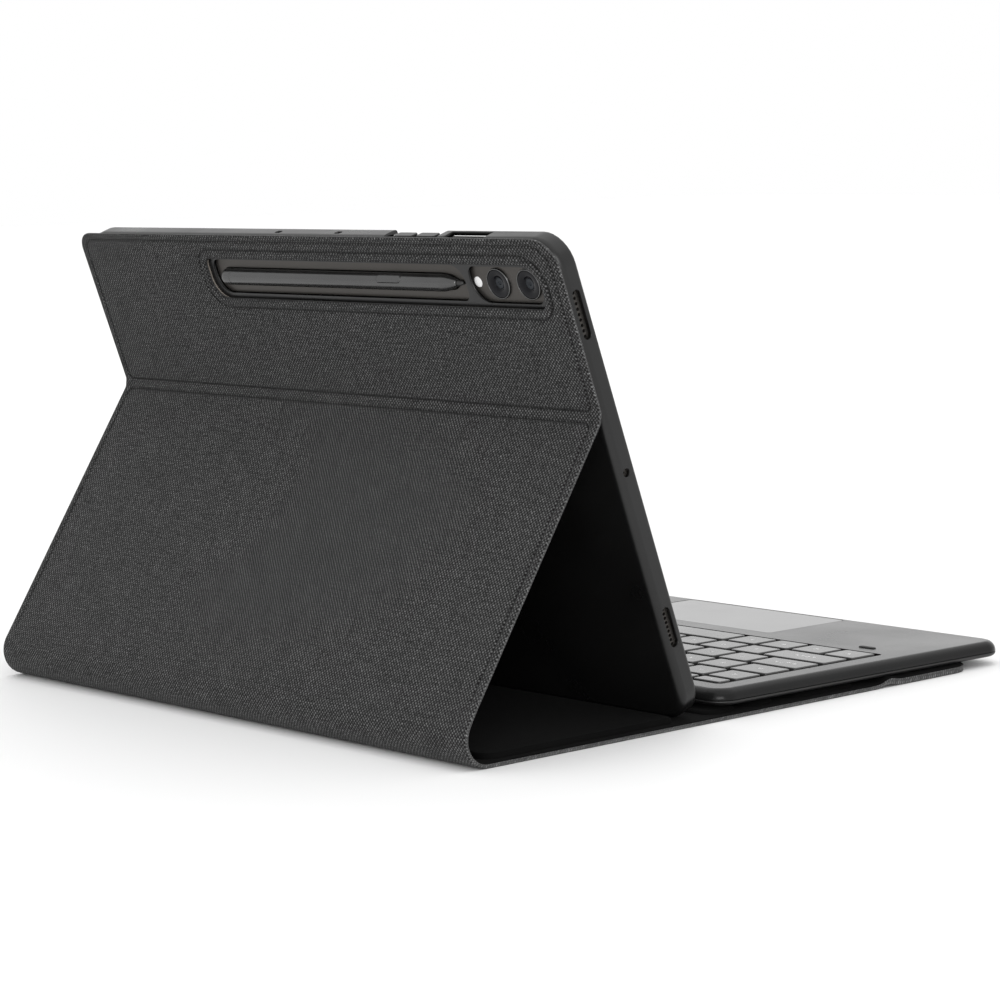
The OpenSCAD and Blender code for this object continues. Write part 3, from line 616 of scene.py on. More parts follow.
def lining_depth(x, s):
    """How deep below the fabric face the lining's own face lies: over the boards, or pressed at the rim."""
    front = 1 - smooth_step(s, *STEP_FROM_FRONT)
    full = REAR_T + (FRONT_T - REAR_T) * front
    full += (SPINE_T - REAR_T) * smooth_step(s, roll[0], roll[1])
    full += (LEG_T - SPINE_T) * smooth_step(s, roll[1], roll[2])
    rim = rim_thickness(s) + LINING_T + 0.04
    inside = min(-leaf_distance(x, s, OUTLINE, OUTLINE_RADII), fold_bend[1] - s)
    return rim + (full - rim) * smooth_step(inside, 0.9, 3.4) - base_wave(s)


# ------------------------------------------------------------------ sheets cut flat, then folded


def near_edge(limit):
    """Insets from an edge, close together where a groove and its corner run."""
    steps = [0, 0.2, 0.45, 0.8, 1.5, 2.4, 3.2, 3.7, 4.0, 4.25, 4.5, 4.75, 5.05, 5.5, 6.1, 6.8]
    while steps[-1] < limit:
        steps.append(steps[-1] + 0.9)
    return steps


def spread(low, high, pitch):
    count = max(1, math.ceil((high - low) / pitch))
    return [low + (high - low) * k / count for k in range(count + 1)]


def half_width(s, corner, inset):
    """Half the width of the cover at s, with its front corners rounded."""
    if s >= corner:
        return HALF - inset
    return HALF - corner + math.sqrt(max((corner - inset) ** 2 - (corner - max(s, inset)) ** 2, 0))


def grid_pattern(stations, inset, corner=0.0):
    """A flat pattern of rows at the stations, as (points, faces)."""
    edge = near_edge(11)
    columns = [k / 30 for k in range(1, 30)]
    count = 2 * len(edge) + len(columns)
    points, faces = [], []
    for s in stations:
        half = half_width(s, corner, inset)
        left, reach = [-half + e for e in edge], half - edge[-1]
        inner = [-reach + 2 * reach * k for k in columns]
        points += [(x, s) for x in left + inner + [-x for x in reversed(left)]]
    for row in range(len(stations) - 1):
        for k in range(count - 1):
            a = row * count + k
            faces.append((a, a + 1, a + count + 1, a + count))
    return points, faces


def cut_pattern(outline, loops, lines, hole):
    """A flat pattern with a hole: a constrained triangulation through the loops and lines."""
    points, edges = [], []

    def add(loop, closed):
        first = len(points)
        points.extend(Vector(p) for p in loop)
        edges.extend((first + k, first + k + 1) for k in range(len(loop) - 1))
        if closed:
            edges.append((len(points) - 1, first))

    add(outline, True)
    for loop in loops:
        add(loop, True)
    for line in lines:
        add(line, False)
    made = geometry.delaunay_2d_cdt(points, edges, [], 0, 1e-5)
    corners, triangles = made[0], made[2]
    faces = []
    for face in triangles:
        x = sum(corners[k].x for k in face) / 3
        s = sum(corners[k].y for k in face) / 3
        if leaf_distance(x, s, *hole) > 0:
            faces.append(tuple(face))
    used = sorted({k for face in faces for k in face})
    index = {k: n for n, k in enumerate(used)}
    faces = [tuple(index[k] for k in face) for face in faces]
    return [(corners[k].x, corners[k].y) for k in used], faces


def folded_sheet(name, pattern, top, under, materials):
    """The pattern as a closed sheet between two depths, folded along the cover's path."""
    points, faces = pattern
    count = len(points)
    verts = [COVER.place(x, s, top(x, s)) for x, s in points]
    verts += [COVER.place(x, s, under(x, s)) for x, s in points]
    uses = {}
    for face in faces:
        for a, b in zip(face, face[1:] + face[:1]):
            uses.setdefault((min(a, b), max(a, b)), []).append((a, b))
    rim = [uses[key][0] for key in uses if len(uses[key]) == 1]
    all_faces = list(faces) + [tuple(k + count for k in reversed(face)) for face in faces]
    all_faces += [(b, a, a + count, b + count) for a, b in rim]
    mesh = bpy.data.meshes.new(name)
    mesh.from_pydata(verts, [], all_faces)
    uv = mesh.uv_layers.new(name="pattern")
    for loop in mesh.loops:
        x, s = points[loop.vertex_index % count]
        offset = FABRIC_T if loop.vertex_index >= count else 0
        uv.data[loop.index].uv = (x + offset, s + offset)
    # painted shade mask: 1 in the pressed grooves and in a painted shadow line on the fabric along the
    # window's rim
    if top is fabric_depth:
        pressed = mesh.attributes.new("pressed", "FLOAT", "POINT")
        for k, (x, s) in enumerate(points):
            window_rim_shadow = groove(max(leaf_distance(x, s, WINDOW, WINDOW_RADII), 0.0), 0.8, 0.5)
            pressed.data[k].value = min(pressed_line(x, s) + window_rim_shadow, 1.0)
    obj = as_object(name, mesh, materials)
    for face in mesh.polygons[len(all_faces) - len(rim):]:
        face.material_index = 1
    bm = bmesh.new()
    bm.from_mesh(mesh)
    bmesh.ops.recalc_face_normals(bm, faces=bm.faces)
    bm.to_mesh(mesh)
    bm.free()
    return obj


def under_lining(x, s):
    return lining_depth(x, s) - LINING_T


def blended(obj, slot, a, b, start, end, *nodes):
    """Hides the CAD nodes that a sheet stands in for, and bakes the sheet's place into its mesh."""
    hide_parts(*nodes)
    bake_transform(obj)


def roll_blend(obj, slot, *nodes):
    """For a sheet round the soft spine: hides the CAD nodes it stands in for, and bakes the sheet's place
    into its mesh.
    """
    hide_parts(*nodes)
    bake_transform(obj)


LEG_CREASE = 2.5


def leg_stations(low, high):
    """Rows for a sheet from the spine to the fold."""
    rows = spread(low, low + LEG_CREASE, 0.5)
    start = LEG_PANEL[2]
    rows += [start + d for d in (-1.5, -0.95, -0.6, -0.3, 0, 0.3, 0.6, 0.95, 1.5, 3, 5)]
    rows += [high - e for e in (0.3, 0.6, 0.95, 1.5, 2.2, 3, 4, 5.5)]
    rows += spread(start + 7, high - 7, 9.0)
    rows = sorted(s for s in rows if low <= s <= high)
    return [low] + [b for a, b in zip(rows, rows[1:]) if b - a > 0.12 and b < high - 0.1] + [high]


def base_stations(low, high, corner):
    rows = [low + corner * (1 - math.cos(math.pi / 2 * k / 8)) for k in range(9)]
    rows += spread(low + corner, WAVE_FROM_FRONT - 12, 9.0)
    rows += spread(WAVE_FROM_FRONT - 12, WAVE_FROM_FRONT + 12, 1.0)
    rows += spread(WAVE_FROM_FRONT + 12, roll[0], 9.0) + spread(roll[0], high, 1.0)
    rows = sorted(set(rows))
    return [rows[0]] + [b for a, b in zip(rows, rows[1:]) if b - a > 0.05]


def outer_fabric():
    """The fabric skin in three sheets, joined where the creases hide it."""
    cloth = [FABRIC, FABRIC_EDGE]
    rows = base_stations(0.0, roll[2], BASE_CORNER)
    pattern = grid_pattern(rows, 0, BASE_CORNER)
    base = folded_sheet("fabric_base", pattern, fabric_depth, under_fabric, cloth)
    roll_blend(base, "cover_fabric", "base_cover", "spine_cover")

    rows = leg_stations(roll[2], fold_bend[0])
    leg = folded_sheet("fabric_leg", grid_pattern(rows, 0), fabric_depth, under_fabric, cloth)
    blended(leg, "cover_fabric", "spine", "leg", roll[2], roll[2] + LEG_CREASE, "leg_cover")

    box = (-HALF, HALF, fold_bend[0], TOP)
    radii = (0.05, 0.05, PLAIN_CORNER, CAMERA_CORNER)
    hem = [subdivided(leaf(box, radii, -inset), 9.0) for inset in (0.2, 0.45, 0.8, 1.5)]
    sides = (0.0, 0.3, 0.6, 0.95, 1.5)
    ring = [subdivided(leaf(UPPER_PANEL, UPPER_RADII, g), 9.0) for d in sides for g in {d, -d}]
    eyelet = [0.2, 0.45, 0.8, 1.4, 2.0, 2.6] + [WINDOW_GROOVE + d for d in (-0.6, -0.3, 0, 0.3, 0.6, 1.1)]
    ring += [subdivided(leaf(WINDOW, WINDOW_RADII, g), 9.0) for g in [0.0] + eyelet]
    rows = spread(fold_bend[0], fold_bend[2], 0.45)[1:] + spread(fold_bend[2] + 6, WINDOW[2] - 9, 9.0)
    lines = [[(x, s) for x in spread(-HALF, HALF, 9.0)] for s in rows]
    outline = subdivided(leaf(box, radii), 9.0)
    pattern = cut_pattern(outline, hem + ring, lines, (WINDOW, WINDOW_RADII))
    upper = folded_sheet("fabric_upper", pattern, fabric_depth, under_fabric, cloth)
    blended(upper, "cover_fabric", "leg", "tray", fold_bend[0], fold_bend[2], "upper_cover")


def linings():
    """The dark lining that faces the keyboard and the tray, in two sheets."""
    cloth = [LINING, PADS]
    inset = 0.7
    rows = base_stations(inset, roll[2], BASE_CORNER - inset)
    pattern = grid_pattern(rows, inset, BASE_CORNER)
    base = folded_sheet("lining_base", pattern, lining_depth, under_lining, cloth)
    roll_blend(base, "lining", "base_lining")
    end = fold_bend[1] - 1.5
    rows = leg_stations(roll[2], end)
    leg = folded_sheet("lining_leg", grid_pattern(rows, inset), lining_depth, under_lining, cloth)
    blended(leg, "lining", "spine", "leg", roll[2], roll[2] + LEG_CREASE, "leg_lining")


def spine_stiffener():
    """The thin springy card inside the round spine."""
    inset = 4.0
    rows = spread(roll[0] + 0.5, roll[2] - 0.5, 1.0)
    card = folded_sheet("spine_card", grid_pattern(rows, inset), lambda x, s: FABRIC_T + 0.02,
                        lambda x, s: SPINE_T - LINING_T - 0.04, [BACKING, BACKING])
    roll_blend(card, "board", "spine_board")


def raised_pads():
    """The stand pad and the three angle stops, foam under microfibre."""
    for node, name in (("stand_pad", "stand_pad_soft"), ("angle_stops", "angle_stop_soft")):
        for k, (low, high) in enumerate(TABLE.solids(node)):
            shape = Shape()
            box = (low[0], high[0], low[1], high[1])
            rise = high[2] - low[2]
            edge = [(0.0, low[2] - 0.3)]
            edge += [(inset, low[2] + up) for inset, up in rounding(min(1.6, rise), rise, 6)]
            shape.closed(shape.stack(box, 6.0, edge))
            piece = shape.build(name if node == "stand_pad" else f"{name}_{k + 1}", TABLE, PADS)
            rides(piece, "base", "lining", node)


# ------------------------------------------------------------------ open shells with holes


def open_shell(name, place, box, corner, edge, levels, wall, holes, material, lip=0.3):
    """A tray-like shell. edge is (inset, n) pairs from its open rim to its closed face; levels are the
    n of the rim, of the inner floor and of the closed face; holes are outlines drawn by grow, with a
    rounded lip."""
    rim, floor, face = levels
    way = 1 if face > rim else -1
    shape = Shape()
    outer = shape.stack(box, corner, edge)
    inner_edge = [(wall + 0.3, rim), (wall + 0.09, rim + way * 0.09), (wall, rim + way * 0.3)]
    inner_edge.append((wall, floor))
    inner = shape.stack(box, corner, inner_edge)
    shape.loft(outer)
    shape.loft(inner)
    shape.wall(outer[0], inner[0])
    face_rings, floor_rings = [outer[-1]], [inner[-1]]
    for outline in holes:
        soft = [(lip - inset, face - way * (lip - rise)) for inset, rise in rounding(lip, lip, 4)][::-1]
        soft.append((0.0, floor))
        rings = [shape.ring(outline(grow), n) for grow, n in soft]
        shape.loft(rings)
        face_rings.append(rings[0])
        floor_rings.append(rings[-1])
    shape.fill(*face_rings)
    shape.fill(*floor_rings)
    return shape.build(name, place, material)


def leaf_hole(box, radii):
    return lambda grow: leaf(box, radii, grow)


def slot_cutter(place, length, width, depth, flare=0.35):
    """A round-ended slot along the place's second axis, flared where it meets the face at n = 0."""
    shape = Shape()
    box = (-width / 2, width / 2, -length / 2, length / 2)
    stack = [(0.0, -depth), (0.0, -flare), (flare, 0.0), (flare * 2, flare)]
    shape.closed([shape.ring(leaf(box, width / 2 - 0.01, grow), n) for grow, n in stack])
    return shape.build("cutter", place, [])


def notch_cutter(x0, x1, front, back, top, depth):
    """A notch in the tray's top wall, its ends sloping up to the rim."""
    shape = Shape()
    slope = 1.6
    low = [(x0, front), (x1, front), (x1, back), (x0, back)]
    rings = []
    for v, grow in ((top - depth, 0.0), (top - 0.5, 0.0), (top + 1.0, slope * 0.6)):
        rings.append([shape.bm.verts.new((x + (grow if x == x1 else -grow), v, n)) for x, n in low])
    shape.closed(rings)
    return shape.build("cutter", TRAY, [])


TRAY_WALL, TRAY_CORNER, TRAY_EDGE, CUT_DEPTH = 1.6, 12.0, 3.2, 2.6
SPEAKERS = ((29.4, 44.9), (149.7, 168.1))
SPEAKER_W, SIDE_N, MIC_H, TOP_MICS = 3.5, 4.0, 98.4, (16.2, -20.8)
PLUG_SLOT = (13.0, 6.4)
NOTCHES = ((-80.6, -50.8, -1.0), (-106.9, -84.9, 1.6))
NOTCH_BACK = 6.6
PEN_OPENING, PEN_RADII = (-92.0, 59.5, 164.4, 178.4), (3.0, 7.5, 3.5, 7.0)
CAMERA_OPENING, CAMERA_RADII = (-132.0, -94.8, 164.0, 178.0), (3.5, 8.5, 3.5, 8.5)


def tray():
    """The tray, with its two openings at the back and the cut-outs in its side and top walls."""
    (x0, x1), (v0, v1), (n0, n1) = TRAY.span("tray_shell")
    box, face = (x0, x1, v0, v1), n1
    edge = [(0.9, n0), (0.5, n0 + 0.12), (0.15, n0 + 0.5), (0.0, n0 + 1.3)]
    edge += [(inset, face - TRAY_EDGE + rise) for inset, rise in rounding(3.0, TRAY_EDGE, 8)]
    holes = [leaf_hole(PEN_OPENING, PEN_RADII), leaf_hole(CAMERA_OPENING, CAMERA_RADII)]
    shell = open_shell("tray_shell_moulding", TRAY, box, TRAY_CORNER, edge, (n0, n1 - 1.4, n1), TRAY_WALL,
                       holes, TRAY_PLASTIC, lip=1.0)
    cutters = []
    for side in (-1, 1):
        out = X * side
        wall_x = x1 if side > 0 else x0
        for low, high in SPEAKERS:
            spot = Place(TRAY.at(wall_x, (low + high) / 2, SIDE_N), tray_up, out, tray_out)
            cutters.append(slot_cutter(spot, high - low, SPEAKER_W, CUT_DEPTH))
    spot = Place(TRAY.at(x0, MIC_H, SIDE_N), tray_up, -X, tray_out)
    cutters.append(slot_cutter(spot, 3.02, 3.0, CUT_DEPTH))
    spot = Place(TRAY.at(x1, (v0 + v1) / 2, SIDE_N), tray_up, X, tray_out)
    cutters.append(slot_cutter(spot, PLUG_SLOT[0], PLUG_SLOT[1], CUT_DEPTH))
    mouth, half = Shape(), PLUG_SLOT[0] / 2 - 0.01
    mouth.plate(leaf_hole((-SIDE_N - 1, 0, -half, half), 0.3), -CUT_DEPTH, 1.0, 0.1)
    cutters.append(mouth.build("cutter", spot, []))
    for x in TOP_MICS:
        spot = Place(TRAY.at(x, v1, SIDE_N), X, tray_up, tray_out)
        cutters.append(slot_cutter(spot, 3.6, 2.0, CUT_DEPTH, 0.2))
    for low, high, front in NOTCHES:
        cutters.append(notch_cutter(low, high, front, NOTCH_BACK, v1, 2.4))
    carve(shell, cutters)
    rides(shell, "tray", "tray_plastic", "tray_shell")


# ------------------------------------------------------------------ tablet and stylus


GLASS_CORNER, GLASS_BORDER, STYLUS_TAPER = 10.1, 5.6, 11


def screen():
    """The screen glass with its display."""
    (x0, x1), (v0, v1), (n0, n1) = TRAY.span("tablet_glass")
    shape = Shape()
    box = (x0, x1, v0, v1)
    edge = [(0.0, n1)] + [(inset, n1 - rise) for inset, rise in rounding(0.45, n1 - n0, 4)]
    rings = shape.stack(box, GLASS_CORNER, edge)
    shape.loft(rings)
    shape.cap(rings[0])
    display = shape.ring(leaf(box, GLASS_CORNER, -GLASS_BORDER), n0)
    shape.fill(rings[-1], display)
    shape.cap(display, 1)
    glass = shape.build("screen_glass_plate", TRAY, [SCREEN, DISPLAY])
    rides(glass, "tablet", "screen_glass", "tablet_glass")


def cameras():
    """The two lens units in their rims, and the flash."""
    rims, lenses, irises = Shape(), Shape(), Shape()
    for (low, high), (lens_low, _) in zip(TRAY.solids("camera_rings"), TRAY.solids("camera_lenses")):
        cx, cy = (low[0] + high[0]) / 2, (low[1] + high[1]) / 2
        r, top, base = (high[0] - low[0]) / 2, high[2], low[2]
        seat = r - 0.5
        rims.turned(cx, cy, [(seat, base), (r, base), (r, top - 0.25), (r - 0.08, top - 0.08),
                             (r - 0.25, top), (seat + 0.1, top), (seat, top - 0.12),
                             (seat - 0.05, base + 0.4)])
        glass = lens_low[2]
        lenses.turned(cx, cy, [(seat - 0.03, base + 0.4), (seat - 0.03, top - 0.2),
                               (seat - 0.3, top - 0.15), (3.0, top - 0.15), (2.7, glass + 0.35),
                               (2.1, glass + 0.25)])
        irises.turned(cx, cy, [(2.1, glass + 0.2), (2.1, glass + 0.4), (1.8, glass + 0.5),
                               (1.1, glass + 0.35), (0.7, glass + 0.3), (0.6, glass + 0.45),
                               (0.0, glass + 0.6)])
    rides(rims.build("camera_rims", TRAY, EDGE_METAL), "tablet", "lens_ring", "camera_rings")
    rides(lenses.build("camera_lens_units", TRAY, LENS), "tablet", "lens_glass", "camera_lenses")
    rides(irises.build("camera_lens_hearts", TRAY, IRIS), "tablet", "lens_glass")

    (x0, x1), (v0, v1), (n0, n1) = TRAY.span("camera_flash")
    flash, r = Shape(), (x1 - x0) / 2
    dome = [(r, n0), (r, n1 - 0.15), (r - 0.15, n1 + 0.02), (r * 0.6, n1 + 0.12), (0, n1 + 0.15)]
    flash.turned((x0 + x1) / 2, (v0 + v1) / 2, dome)
    rides(flash.build("flash_dome", TRAY, FLASH), "tablet", "flash", "camera_flash")


def side_keys():
    """The power and volume keys in the tablet's top edge."""
    for node in ("power_key", "volume_key"):
        (x0, x1), (v0, v1), (n0, n1) = TRAY.span(node)
        key, middle = Shape(), Place(TRAY.at(0, 0, 0), tray_out, tray_up)
        key.plate(leaf_hole((x0, x1, n0, n1), 1.2), v0, v1, 0.35)
        rides(key.build(node + "_cap", middle, KEY_METAL), node, "side_key_metal", node)


def stylus():
    """The barrel with its end cap, button and nib, turned about one axis."""
    cap, nib = TRAY.span("stylus_cap"), TRAY.span("stylus_nib")
    r = (cap[1][1] - cap[1][0]) / 2
    v, n = sum(cap[1]) / 2, sum(cap[2]) / 2
    end, joint = cap[0][1], cap[0][0]
    tip, root = nib[0][0], nib[0][1]
    line = Place(TRAY.at(end, v, n), tray_up, -X, tray_out)
    cap_l, root_l, tip_l = end - joint, end - root, end - tip
    taper = tip_l - STYLUS_TAPER
    shape = Shape()
    dome = [(r * math.sin(a), r * 0.95 * (1 - math.cos(a))) for a in
            [math.pi / 2 * k / 8 for k in range(9)]]
    shape.turned(0, 0, dome + [(r, cap_l - 0.25), (r - 0.12, cap_l - 0.08), (r - 0.12, cap_l)])
    rides(shape.build("stylus_end_cap", line, STYLUS), "stylus", "stylus_body", "stylus_cap")

    shape = Shape()
    cone = [(r - (r - 1.2) * smooth_taper(k / 10), taper + (root_l - taper) * k / 10) for k in range(11)]
    body = [(r - 0.12, cap_l), (r - 0.12, cap_l + 0.08), (r, cap_l + 0.25), (r, taper - 8)] + cone
    shape.turned(0, 0, body)
    barrel_piece = shape.build("stylus_body_tube", line, STYLUS)
    thumb = Place(TRAY.at(0, v, n), press_out.cross(X), press_out)
    (bx0, bx1), (bv0, bv1), (bn0, bn1) = thumb.span("stylus_button")
    pocket = Shape()
    pill = leaf_hole((bx0, bx1, bv0, bv1), (bv1 - bv0) / 2 - 0.02)
    pocket.plate(lambda grow: pill(grow + 0.16), bn0 - 0.4, bn1 + 1, 0.01)
    carve(barrel_piece, [pocket.build("cutter", thumb, [])])
    rides(barrel_piece, "stylus", "stylus_body", "stylus_barrel")
    button = Shape()
    button.plate(pill, bn0, bn1 - 0.05, 0.3)
    pill_piece = button.build("stylus_button_pill", thumb, STYLUS)
    rides(pill_piece, "stylus_button", "stylus_body", "stylus_button")
    shape = Shape()
    shape.turned(0, 0, [(1.15, root_l), (1.05, root_l + 0.4), (0.8, tip_l - 0.6), (0.5, tip_l - 0.15),
                        (0, tip_l)])
    rides(shape.build("stylus_nib_point", line, NIB), "stylus", "stylus_nib", "stylus_nib")


def smooth_taper(share):
    return share * share * 0.75 + share * 0.25


# ------------------------------------------------------------------ keyboard

KEY_NODES = [body for body in frame["bodies"] if body + "_press" in JOINTS
             and body not in ("power_key", "volume_key", "stylus_button")]
KEYBOARD_CORNER, KEYBOARD_WALL, WELL_MARGIN = 9.0, 2.4, 2.2
TRACKPAD_HOLE = (-62.6, 29.0, 4.1, 50.4)
DECK_EDGE, BOTTOM_EDGE = 3.8, 2.2


def keyboard_deck():
    """The upper shell, with the keys' well, the trackpad's opening, two lights, a switch and a port."""
    (x0, x1), (y0, y1), (z0, z1) = BOARD.span("keyboard_deck")
    keys = [BOARD.span(node) for node in KEY_NODES]
    well = (min(k[0][0] for k in keys) - WELL_MARGIN, max(k[0][1] for k in keys) + WELL_MARGIN,
            min(k[1][0] for k in keys) - WELL_MARGIN, max(k[1][1] for k in keys) + WELL_MARGIN)
    edge = [(0.12, z0), (0.0, z0 + 0.15)]
    edge += [(inset, z0 + 0.15 + rise) for inset, rise in rounding(DECK_EDGE, z1 - z0 - 0.15, 9)]
    holes = [leaf_hole(well, 2.5), leaf_hole(TRACKPAD_HOLE, 2.5)]
    for low, high in BOARD.solids("status_lights"):
        middle, r = ((low[0] + high[0]) / 2, (low[1] + high[1]) / 2), (high[0] - low[0]) / 2
        holes.append(lambda grow, m=middle, r=r: circle(m[0], m[1], r + max(grow, 0), 16))
    deck = open_shell("keyboard_deck_moulding", BOARD, (x0, x1, y0, y1), KEYBOARD_CORNER, edge,
                      (z0, z1 - 1.2, z1), KEYBOARD_WALL, holes, DECK)
    _, (sy0, sy1), (sz0, sz1) = BOARD.span("power_switch")
    travel = JOINTS["power_switch_slide"]["range_m"][1] / MM
    spot = Place(BOARD.at(x1, (sy0 + sy1 + travel) / 2, (sz0 + sz1) / 2), key_back, X, key_up)
    cutters = [slot_cutter(spot, sy1 - sy0 + travel + 1.2, sz1 - sz0 + 0.6, 3.2, 0.15)]
    _, (uy0, uy1), (uz0, uz1) = BOARD.span("keyboard_usb_socket")
    spot = Place(BOARD.at(x1, (uy0 + uy1) / 2, (uz0 + uz1) / 2), key_back, X, key_up)
    cutters.append(slot_cutter(spot, uy1 - uy0 + 0.1, uz1 - uz0 + 0.1, 3.2, 0.2))
    carve(deck, cutters)
    rides(deck, "keyboard", "deck_plastic", "keyboard_deck")


def keyboard_bottom():
    """The lower shell, with its screw holes."""
    (x0, x1), (y0, y1), _ = BOARD.span("keyboard_deck")
    _, _, (z0, z1) = BOARD.span("keyboard_bottom")
    edge = [(0.35, z1), (0.0, z1 - 0.3)]
    edge += [(inset, z1 - 0.3 - rise) for inset, rise in rounding(BOTTOM_EDGE, z1 - z0 - 0.3, 6)]
    holes = []
    for low, high in BOARD.solids("keyboard_screws"):
        middle = ((low[0] + high[0]) / 2, (low[1] + high[1]) / 2)
        holes.append(lambda grow, m=middle: circle(m[0], m[1], 1.8 + max(grow, 0), 20))
    bottom = open_shell("keyboard_bottom_moulding", BOARD, (x0, x1, y0, y1), KEYBOARD_CORNER, edge,
                        (z1, z0 + 0.9, z0), KEYBOARD_WALL, holes, BOTTOM)
    rides(bottom, "keyboard", "bottom_plastic", "keyboard_bottom")


def trackpad_and_feet():
    """The trackpad's plate, the bumpers that meet the screen, and the rubber feet."""
    (x0, x1), (y0, y1), (z0, z1) = BOARD.span("trackpad")
    pad = Shape()
    pad.plate(leaf_hole((x0, x1, y0, y1), 2.2), z0, z1, 0.22)
    rides(pad.build("trackpad_plate", BOARD, TRACKPAD), "trackpad", "trackpad_surface", "trackpad")
    # the node, the piece, its corners, and the rounding above and below
    rubbers = (("screen_bumpers", "screen_bumper_pads", 1.0, 0.35 * 0.6, 0.0),
               ("keyboard_feet", "keyboard_foot_pads", 3.0, 0.25 * 0.6, 0.25 * 0.6))
    for node, name, corner, soft, under in rubbers:
        blocks = Shape()
        for low, high in BOARD.solids(node):
            outline = leaf_hole((low[0], high[0], low[1], high[1]), corner)
            blocks.plate(outline, low[2], high[2], soft, under)
        rides(blocks.build(name, BOARD, RUBBER), "keyboard", "rubber", node)


def key_mark(shape, low, high, seed, top):
    """A small plain mark of a few strokes on a key, no letter of any alphabet."""
    dice = random.Random(seed)
    wide = high[0] - low[0] > 20
    size = 1.0 if high[1] - low[1] < 9 else 1.7
    count = 4 if wide else 1
    cx = (low[0] + high[0]) / 2 - (count - 1) * size * 0.9
    cy = (low[1] + high[1]) / 2
    for k in range(count):
        x, stroke = cx + k * size * 1.8, size * 0.13
        for _ in range(2 + (not wide)):
            dx, dy = dice.uniform(-0.5, 0.5) * size, dice.uniform(-0.5, 0.5) * size
            flat = dice.random() < 0.5
            w, h = (size * 0.5, stroke) if flat else (stroke, size * 0.5)
            box = (x + dx * 0.5 - w, x + dx * 0.5 + w, cy + dy - h, cy + dy + h)
            ring = [shape.bm.verts.new((a, b, top)) for a, b in leaf(box, stroke * 0.9, 0, 1)]
            skirt = [shape.bm.verts.new((a, b, top - 0.05)) for a, b in leaf(box, stroke * 0.9, 0, 1)]
            shape.wall(ring, skirt, 1)
            shape.cap(ring, 1)
            shape.cap(skirt, 1)


CAP_SKIN = 0.8


def keycaps():
    """Every key of every row: a crisp low cap, hollow over its dome, with a plain mark."""
    seed = 0
    for node in KEY_NODES:
        shape = Shape()
        for low, high in BOARD.solids(node):
            seed += 1
            box, base, top = (low[0], high[0], low[1], high[1]), low[2], high[2]
            stack = [(0.35, base), (0.0, base + 0.15), (0.0, top - 0.55), (0.06, top - 0.28),
                     (0.2, top - 0.1), (0.42, top - 0.01), (0.7, top)]
            rings = shape.stack(box, 1.3, stack, 5)
            hollow = shape.stack(box, 1.3, [(1.0, base), (1.0, top - CAP_SKIN)], 5)
            shape.loft(rings)
            shape.loft(hollow)
            shape.wall(rings[0], hollow[0])
            shape.cap(hollow[-1])
            shape.cap(rings[-1])
            if node != "space_bar":
                key_mark(shape, low, high, seed, top + 0.03)
        rides(shape.build(node + "_caps", BOARD, [KEYCAP, LEGEND]), node, "key_plastic", node)


# ------------------------------------------------------------------ CAD pieces that stay

KEPT = {
    BACKING: ["base_rear_board", "base_front_board", "leg_board", "upper_board"],
    STEEL: ["base_magnets", "keyboard_magnets", "keyboard_usb_socket", "keyboard_screws"],
    TABLET_METAL: ["tablet_housing"],
    KEY_METAL: ["card_tray"],
    BLACK_STEEL: ["key_plate"],
    FILM: ["key_membrane"],
    SILICONE: ["key_domes"],
    CIRCUIT: ["main_board"],
    FOIL: ["battery_cells"],
    LIGHT_PIPE: ["status_lights"],
    SWITCH: ["power_switch"],
}


def dress_cad():
    """Procedural materials for the CAD pieces that stay as they are."""
    for material, nodes in KEPT.items():
        for node in nodes:
            mesh = frame["nodes"][node].data
            mesh.materials.clear()
            mesh.materials.append(material)


# ------------------------------------------------------------------ stage


def stage_floor():
    """A plain pale floor."""
    floor = bpy.data.meshes.new("floor")
    reach = 6.0
    corners = [(-reach, -reach, 0), (reach, -reach, 0), (reach, reach, 0), (-reach, reach, 0)]
    floor.from_pydata(corners, [], [(0, 1, 2, 3)])
    paint = Paint("floor_white", Roughness=0.6, Specular_IOR_Level=0.2)
    cloud = paint.noise(paint.where("object", (1, 1, 1)), 0.8)
    paint.to("Base Color", paint.mixed(cloud, grey(0.86), grey(0.88)))
    as_object("floor", floor, paint.material)


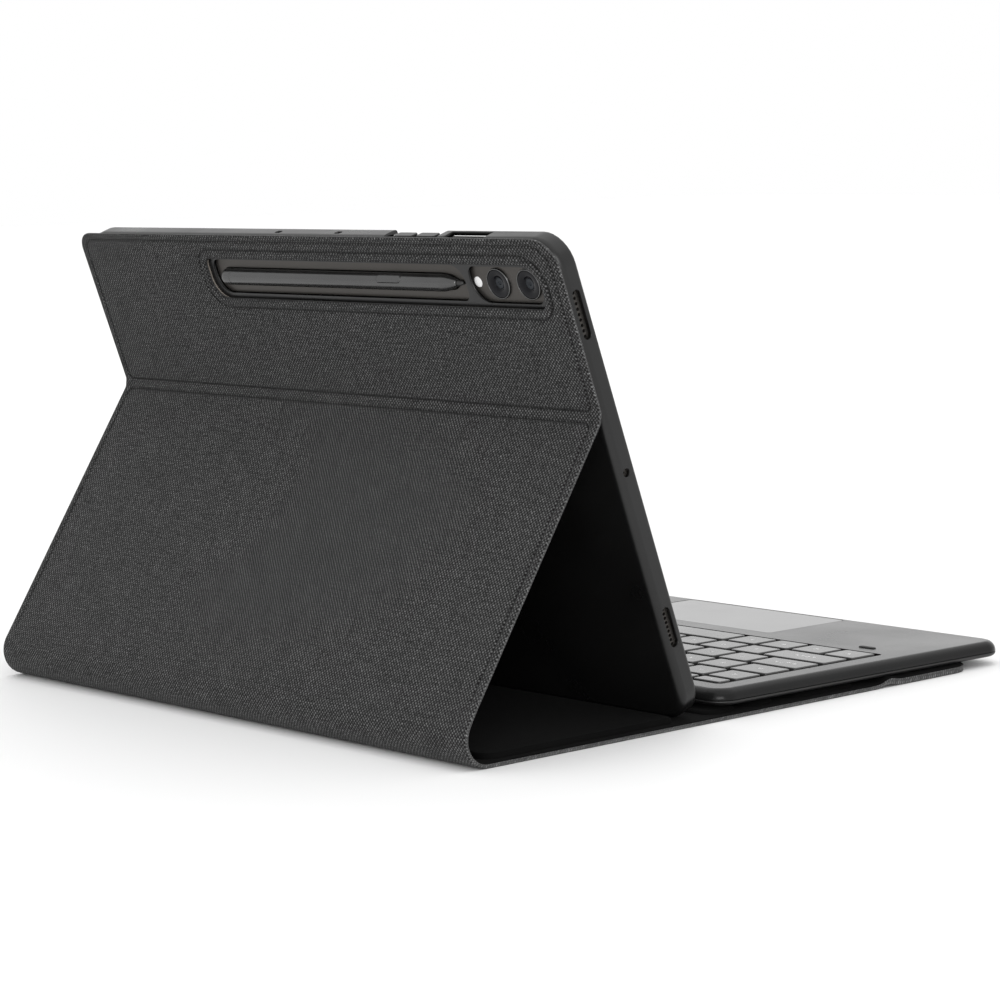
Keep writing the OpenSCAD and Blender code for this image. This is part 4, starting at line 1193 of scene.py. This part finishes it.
def lights():
    """A white surround, a soft overhead sun, a low key lamp and a glow past the far side."""
    world = bpy.data.worlds.new("studio")
    bpy.context.scene.world = world
    world.use_nodes = True
    sky = world.node_tree.nodes["Background"]
    sky.inputs["Color"].default_value = (1, 1, 1, 1)
    sky.inputs["Strength"].default_value = 1.0
    bpy.context.scene.view_settings.view_transform = "Standard"

    middle = Vector((0, 0.03, 0.09))
    lamps = (("key", (-1.15, 0.95, 0.35), 0.8, 0.6, 8.5), ("glow", (1.75, -1.7, 0.5), 3.0, 1.0, 3.0))
    for name, spot, width, height, power in lamps:
        lamp = bpy.data.lights.new(name, "AREA")
        lamp.shape = "RECTANGLE"
        lamp.size, lamp.size_y, lamp.energy = width, height, power
        light = bpy.data.objects.new(name, lamp)
        light.location = spot
        light.rotation_euler = (middle - Vector(spot)).to_track_quat("-Z", "Y").to_euler()
        bpy.context.scene.collection.objects.link(light)
    lamp = bpy.data.lights.new("overhead", "SUN")
    lamp.energy, lamp.angle = 0.65, math.radians(80)
    light = bpy.data.objects.new("overhead", lamp)
    light.rotation_euler = (math.radians(8), math.radians(-6), 0)
    bpy.context.scene.collection.objects.link(light)


CAMERA_AT = Vector((-0.94200, 0.81644, 0.21739))
CAMERA_AZIMUTH, CAMERA_DROP, CAMERA_ROLL = 49.015, 6.776, -1.524
CAMERA_LENS = 112.02


def camera():
    """A long lens behind the stand, at the height of a seated person's desk camera."""
    azimuth, drop, roll = [math.radians(a) for a in (CAMERA_AZIMUTH, CAMERA_DROP, CAMERA_ROLL)]
    level = Vector((math.sin(azimuth), -math.cos(azimuth), 0))
    ahead = level * math.cos(drop) - Z * math.sin(drop)
    right = ahead.cross(Z).normalized()
    up = right.cross(ahead)
    turned_right = right * math.cos(roll) + up * math.sin(roll)
    turned_up = up * math.cos(roll) - right * math.sin(roll)
    eye = bpy.data.cameras.new("camera")
    eye.lens = CAMERA_LENS
    eye.sensor_width = 36
    obj = bpy.data.objects.new("camera", eye)
    axes = Matrix((turned_right, turned_up, -ahead)).transposed().to_4x4()
    obj.matrix_world = Matrix.Translation(CAMERA_AT) @ axes
    bpy.context.scene.collection.objects.link(obj)
    bpy.context.scene.camera = obj


camera()
stage_floor()
lights()
dress_cad()
outer_fabric()
linings()
spine_stiffener()
raised_pads()
tray()
screen()
cameras()
side_keys()
stylus()
keyboard_deck()
keyboard_bottom()
trackpad_and_feet()
keycaps()
